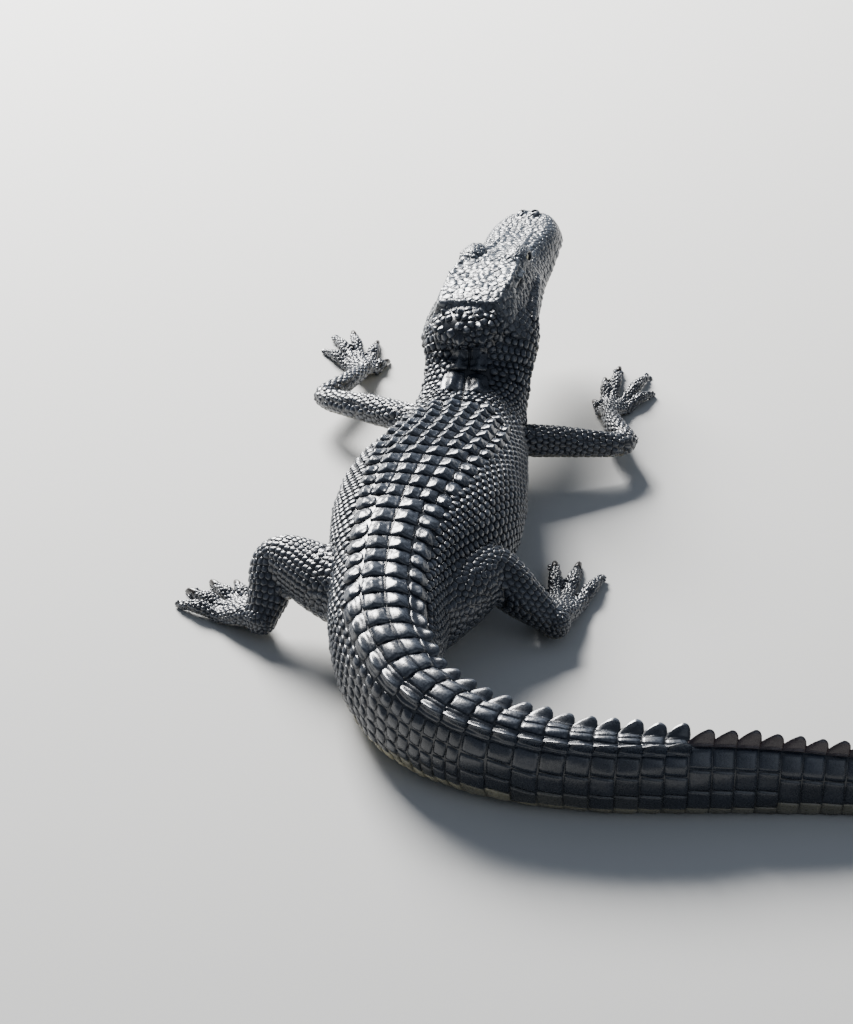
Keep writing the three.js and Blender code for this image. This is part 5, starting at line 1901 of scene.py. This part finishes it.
area_light("window_front_left", place=(-1.25, 3.1, 2.15), target=(0, 0.1, 0), size=1.7, power=850,
           colour=(1.0, 0.985, 0.965))
area_light("fill_behind", place=(1.4, -2.2, 1.6), target=(0, 0, 0), size=2.2, power=9,
           colour=(0.80, 0.88, 1.0))
world = bpy.data.worlds.new("studio")
bpy.context.scene.world = world
world.use_nodes = True
world.node_tree.nodes["Background"].inputs["Color"].default_value = (0.70, 0.81, 1.0, 1)
world.node_tree.nodes["Background"].inputs["Strength"].default_value = 0.25

bpy.ops.mesh.primitive_plane_add(size=12, location=(0, 0, -0.0005))
floor = bpy.context.object
floor.name = "floor"
# paint without gloss takes a soft shadow that shows where the animal touches the floor
paint = bpy.data.materials.new("matt_studio_paint")
paint.use_nodes = True
paint.node_tree.nodes["Principled BSDF"].inputs["Base Color"].default_value = (0.50, 0.50, 0.49, 1)
paint.node_tree.nodes["Principled BSDF"].inputs["Roughness"].default_value = 0.9
floor.data.materials.append(paint)
print("floor", [round(size, 1) for size in floor.dimensions])

# %% [markdown]
# A finish is a graph of nodes. It could be clicked together, but written down it can be read and
# changed; one helper adds a node, sets it and links it, and another opens a new material.
# %% Opening a finish
def node(tree, kind, links=(), **settings):
    """Adds a node, sets its sockets and properties, and links others into it."""
    made = tree.nodes.new(kind)
    for key, value in settings.items():
        if key.startswith("in_"):
            made.inputs[key[3:].replace("_", " ")].default_value = value
        else:
            setattr(made, key, value)
    for source, socket in links:
        tree.links.new(source, made.inputs[socket])
    return made


def open_finish(name):
    """A new material, its nodes, its shader and the place on the object."""
    material = bpy.data.materials.new(name)
    material.use_nodes = True
    tree = material.node_tree
    place = node(tree, "ShaderNodeTexCoord").outputs["Object"]
    return material, tree, tree.nodes["Principled BSDF"], place


print("materials so far", len(bpy.data.materials))

# %% [markdown]
# Horn is what the whole animal is finished in: nearly black keratin, dull down in the grooves and
# a lighter grey on keels and edges, partly from wear and partly a painted silvery sheen of a low
# light. A fine grain breaks up the gloss.
# %% Keratin of the hide
# horn that stands up is grey, from wear and as painted sheen; the grain and the blotches are waves to a
# millimetre
WORN_HORN_AND_SHEEN = linear("#6a717b")
GRAIN = 0.42
BLOTCH = 0.038


def keratin_hide():
    """Horny hide: dull charcoal in the hollows, smooth where it stands up and pale there, from rubbing and
    as a painted sheen.
    """
    material, tree, shader, place = open_finish("alligator_keratin")
    tone = node(tree, "ShaderNodeAttribute", attribute_name="tone")
    worn_and_sheen = node(tree, "ShaderNodeAttribute", attribute_name="wear_and_sheen")
    fine = node(tree, "ShaderNodeTexNoise", [(place, "Vector")],
                in_Scale=GRAIN / MM, in_Detail=6.0, in_Roughness=0.6)
    broad = node(tree, "ShaderNodeTexNoise", [(place, "Vector")], in_Scale=BLOTCH / MM, in_Detail=4.0)
    # pale grey where the horn stands up: wear, and a painted sheen
    pale = node(tree, "ShaderNodeMath", [(worn_and_sheen.outputs["Fac"], 0), (fine.outputs["Fac"], 1)],
                operation="MULTIPLY")
    rub_and_sheen = node(tree, "ShaderNodeMapRange", [(pale.outputs[0], "Value")],
               in_From_Min=0.16, in_From_Max=0.62, in_To_Min=0.0, in_To_Max=0.44)
    # sockets 6 and 7 of a colour mix are its two colours, and output 2 is the mixed one
    mixed = node(tree, "ShaderNodeMix", [(rub_and_sheen.outputs[0], "Factor"), (tone.outputs["Color"], 6)],
                 data_type="RGBA", blend_type="MIX")
    mixed.inputs[7].default_value = (*WORN_HORN_AND_SHEEN, 1)
    dust = node(tree, "ShaderNodeMapRange", [(broad.outputs["Fac"], "Value")],
                in_From_Min=0.3, in_From_Max=0.7, in_To_Min=0.8, in_To_Max=1.2)
    shade = node(tree, "ShaderNodeVectorMath", [(mixed.outputs[2], 0), (dust.outputs[0], "Scale")],
                 operation="SCALE")
    tree.links.new(shade.outputs[0], shader.inputs["Base Color"])
    rough = node(tree, "ShaderNodeMapRange", [(fine.outputs["Fac"], "Value")],
                 in_From_Min=0.3, in_From_Max=0.7, in_To_Min=0.22, in_To_Max=0.37)
    tree.links.new(rough.outputs[0], shader.inputs["Roughness"])
    bump = node(tree, "ShaderNodeBump", [(fine.outputs["Fac"], "Height")],
                in_Strength=0.35, in_Distance=0.6 * MM)
    tree.links.new(bump.outputs[0], shader.inputs["Normal"])
    shader.inputs["IOR"].default_value = 1.62
    return material


horn = keratin_hide()
print("nodes of the hide's finish", len(horn.node_tree.nodes))

# %% [markdown]
# An eye is judged by its gleam: a clear wet coat over an olive-gold iris with fine streaks. The
# pupil is an upright slit, drawn from two distances as a lens, so that no image is needed.
# %% Wet eyes
def wet_eye(side, centre, forward, up):
    """A wet eyeball: olive-gold iris, streaked, round a slit pupil that stands upright."""
    material, tree, shader, place = open_finish(f"wet_eye_{side}")
    offset = node(tree, "ShaderNodeVectorMath", [(place, 0)], operation="SUBTRACT")
    offset.inputs[1].default_value = centre
    parts = []
    for axis in (forward, up):
        along = node(tree, "ShaderNodeVectorMath", [(offset.outputs[0], 0)], operation="DOT_PRODUCT")
        along.inputs[1].default_value = Vector(axis) / EYE_RADIUS
        parts.append(along.outputs["Value"])
    square = node(tree, "ShaderNodeMath", [(parts[1], 0), (parts[1], 1)], operation="MULTIPLY")
    wide = node(tree, "ShaderNodeMath", [(parts[0], 0)], operation="ABSOLUTE")
    lens = node(tree, "ShaderNodeMath", [(square.outputs[0], 0), (wide.outputs[0], 2)],
                operation="MULTIPLY_ADD")
    lens.inputs[1].default_value = 0.35
    pupil = node(tree, "ShaderNodeMapRange", [(lens.outputs[0], "Value")],
                 in_From_Min=0.085, in_From_Max=0.115)
    streaks = node(tree, "ShaderNodeTexNoise", [(place, "Vector")], in_Scale=0.9 / MM, in_Detail=3.0)
    iris = node(tree, "ShaderNodeMix", [(streaks.outputs["Fac"], "Factor")], data_type="RGBA")
    iris.inputs[6].default_value = (*linear("#3c3a1c"), 1)
    iris.inputs[7].default_value = (*linear("#a39a55"), 1)
    whole = node(tree, "ShaderNodeMix", [(pupil.outputs[0], "Factor"), (iris.outputs[2], 7)],
                 data_type="RGBA")
    whole.inputs[6].default_value = (*linear("#050505"), 1)
    tree.links.new(whole.outputs[2], shader.inputs["Base Color"])
    shader.inputs["Roughness"].default_value = 0.08
    shader.inputs["Coat Weight"].default_value = 0.6
    shader.inputs["Coat Roughness"].default_value = 0.03
    return material


head_axes = HEAD_FRAME[:3, :3]
for eye, hand, side in zip(eyes, (-1, 1), ("left", "right")):
    centre = head_point([hand * EYE["x"], EYE["y"], EYE["z"]]) * MM
    eye.data.materials.append(wet_eye(side, Vector(centre), head_axes[:, 1], head_axes[:, 2]))
print("eyes finished", len(eyes))

# %% [markdown]
# Claws are rubbed by the ground until they shine more evenly than the hide. Nearly black horn with
# a faint brown grain is all they need.
# %% Polished claws
def polished_horn():
    """Claw horn: nearly black, rubbed smooth, with a faint brown grain."""
    material, tree, shader, place = open_finish("polished_horn")
    grain = node(tree, "ShaderNodeTexNoise", [(place, "Vector")], in_Scale=0.26 / MM, in_Detail=4.0)
    tint = node(tree, "ShaderNodeMix", [(grain.outputs["Fac"], "Factor")], data_type="RGBA")
    tint.inputs[6].default_value = (*linear("#0f0d0b"), 1)
    tint.inputs[7].default_value = (*linear("#292420"), 1)
    tree.links.new(tint.outputs[2], shader.inputs["Base Color"])
    shader.inputs["Roughness"].default_value = 0.34
    return material


claw_horn = polished_horn()
for claw in claws:
    claw.data.materials.append(claw_horn)
print("claws finished", len(claws))

# %% [markdown]
# Between the scales only the grooves of the hide show, and its markings are darkened there as
# painted shade. The head is barer and is darkened less.
# %% The hide takes its colour
flesh.data.materials.clear()
hide_where = locate(hide_points)
hide_tone = flesh.data.color_attributes.new("tone", "FLOAT_COLOR", "POINT")
# painted shade: the hide that shows between the scales is darkened, less on the head
groove_shade = np.where(hide_where["part"] == HEAD_PART, 0.8, 0.5)
hide_colour = markings(hide_points, hide_where) * groove_shade[:, None]
hide_tone.data.foreach_set("color", np.column_stack([hide_colour, np.ones(len(hide_colour))]).ravel())
for piece in [flesh, *coats]:
    piece.data.materials.append(horn)
print("pieces in horn", len(coats) + 1)
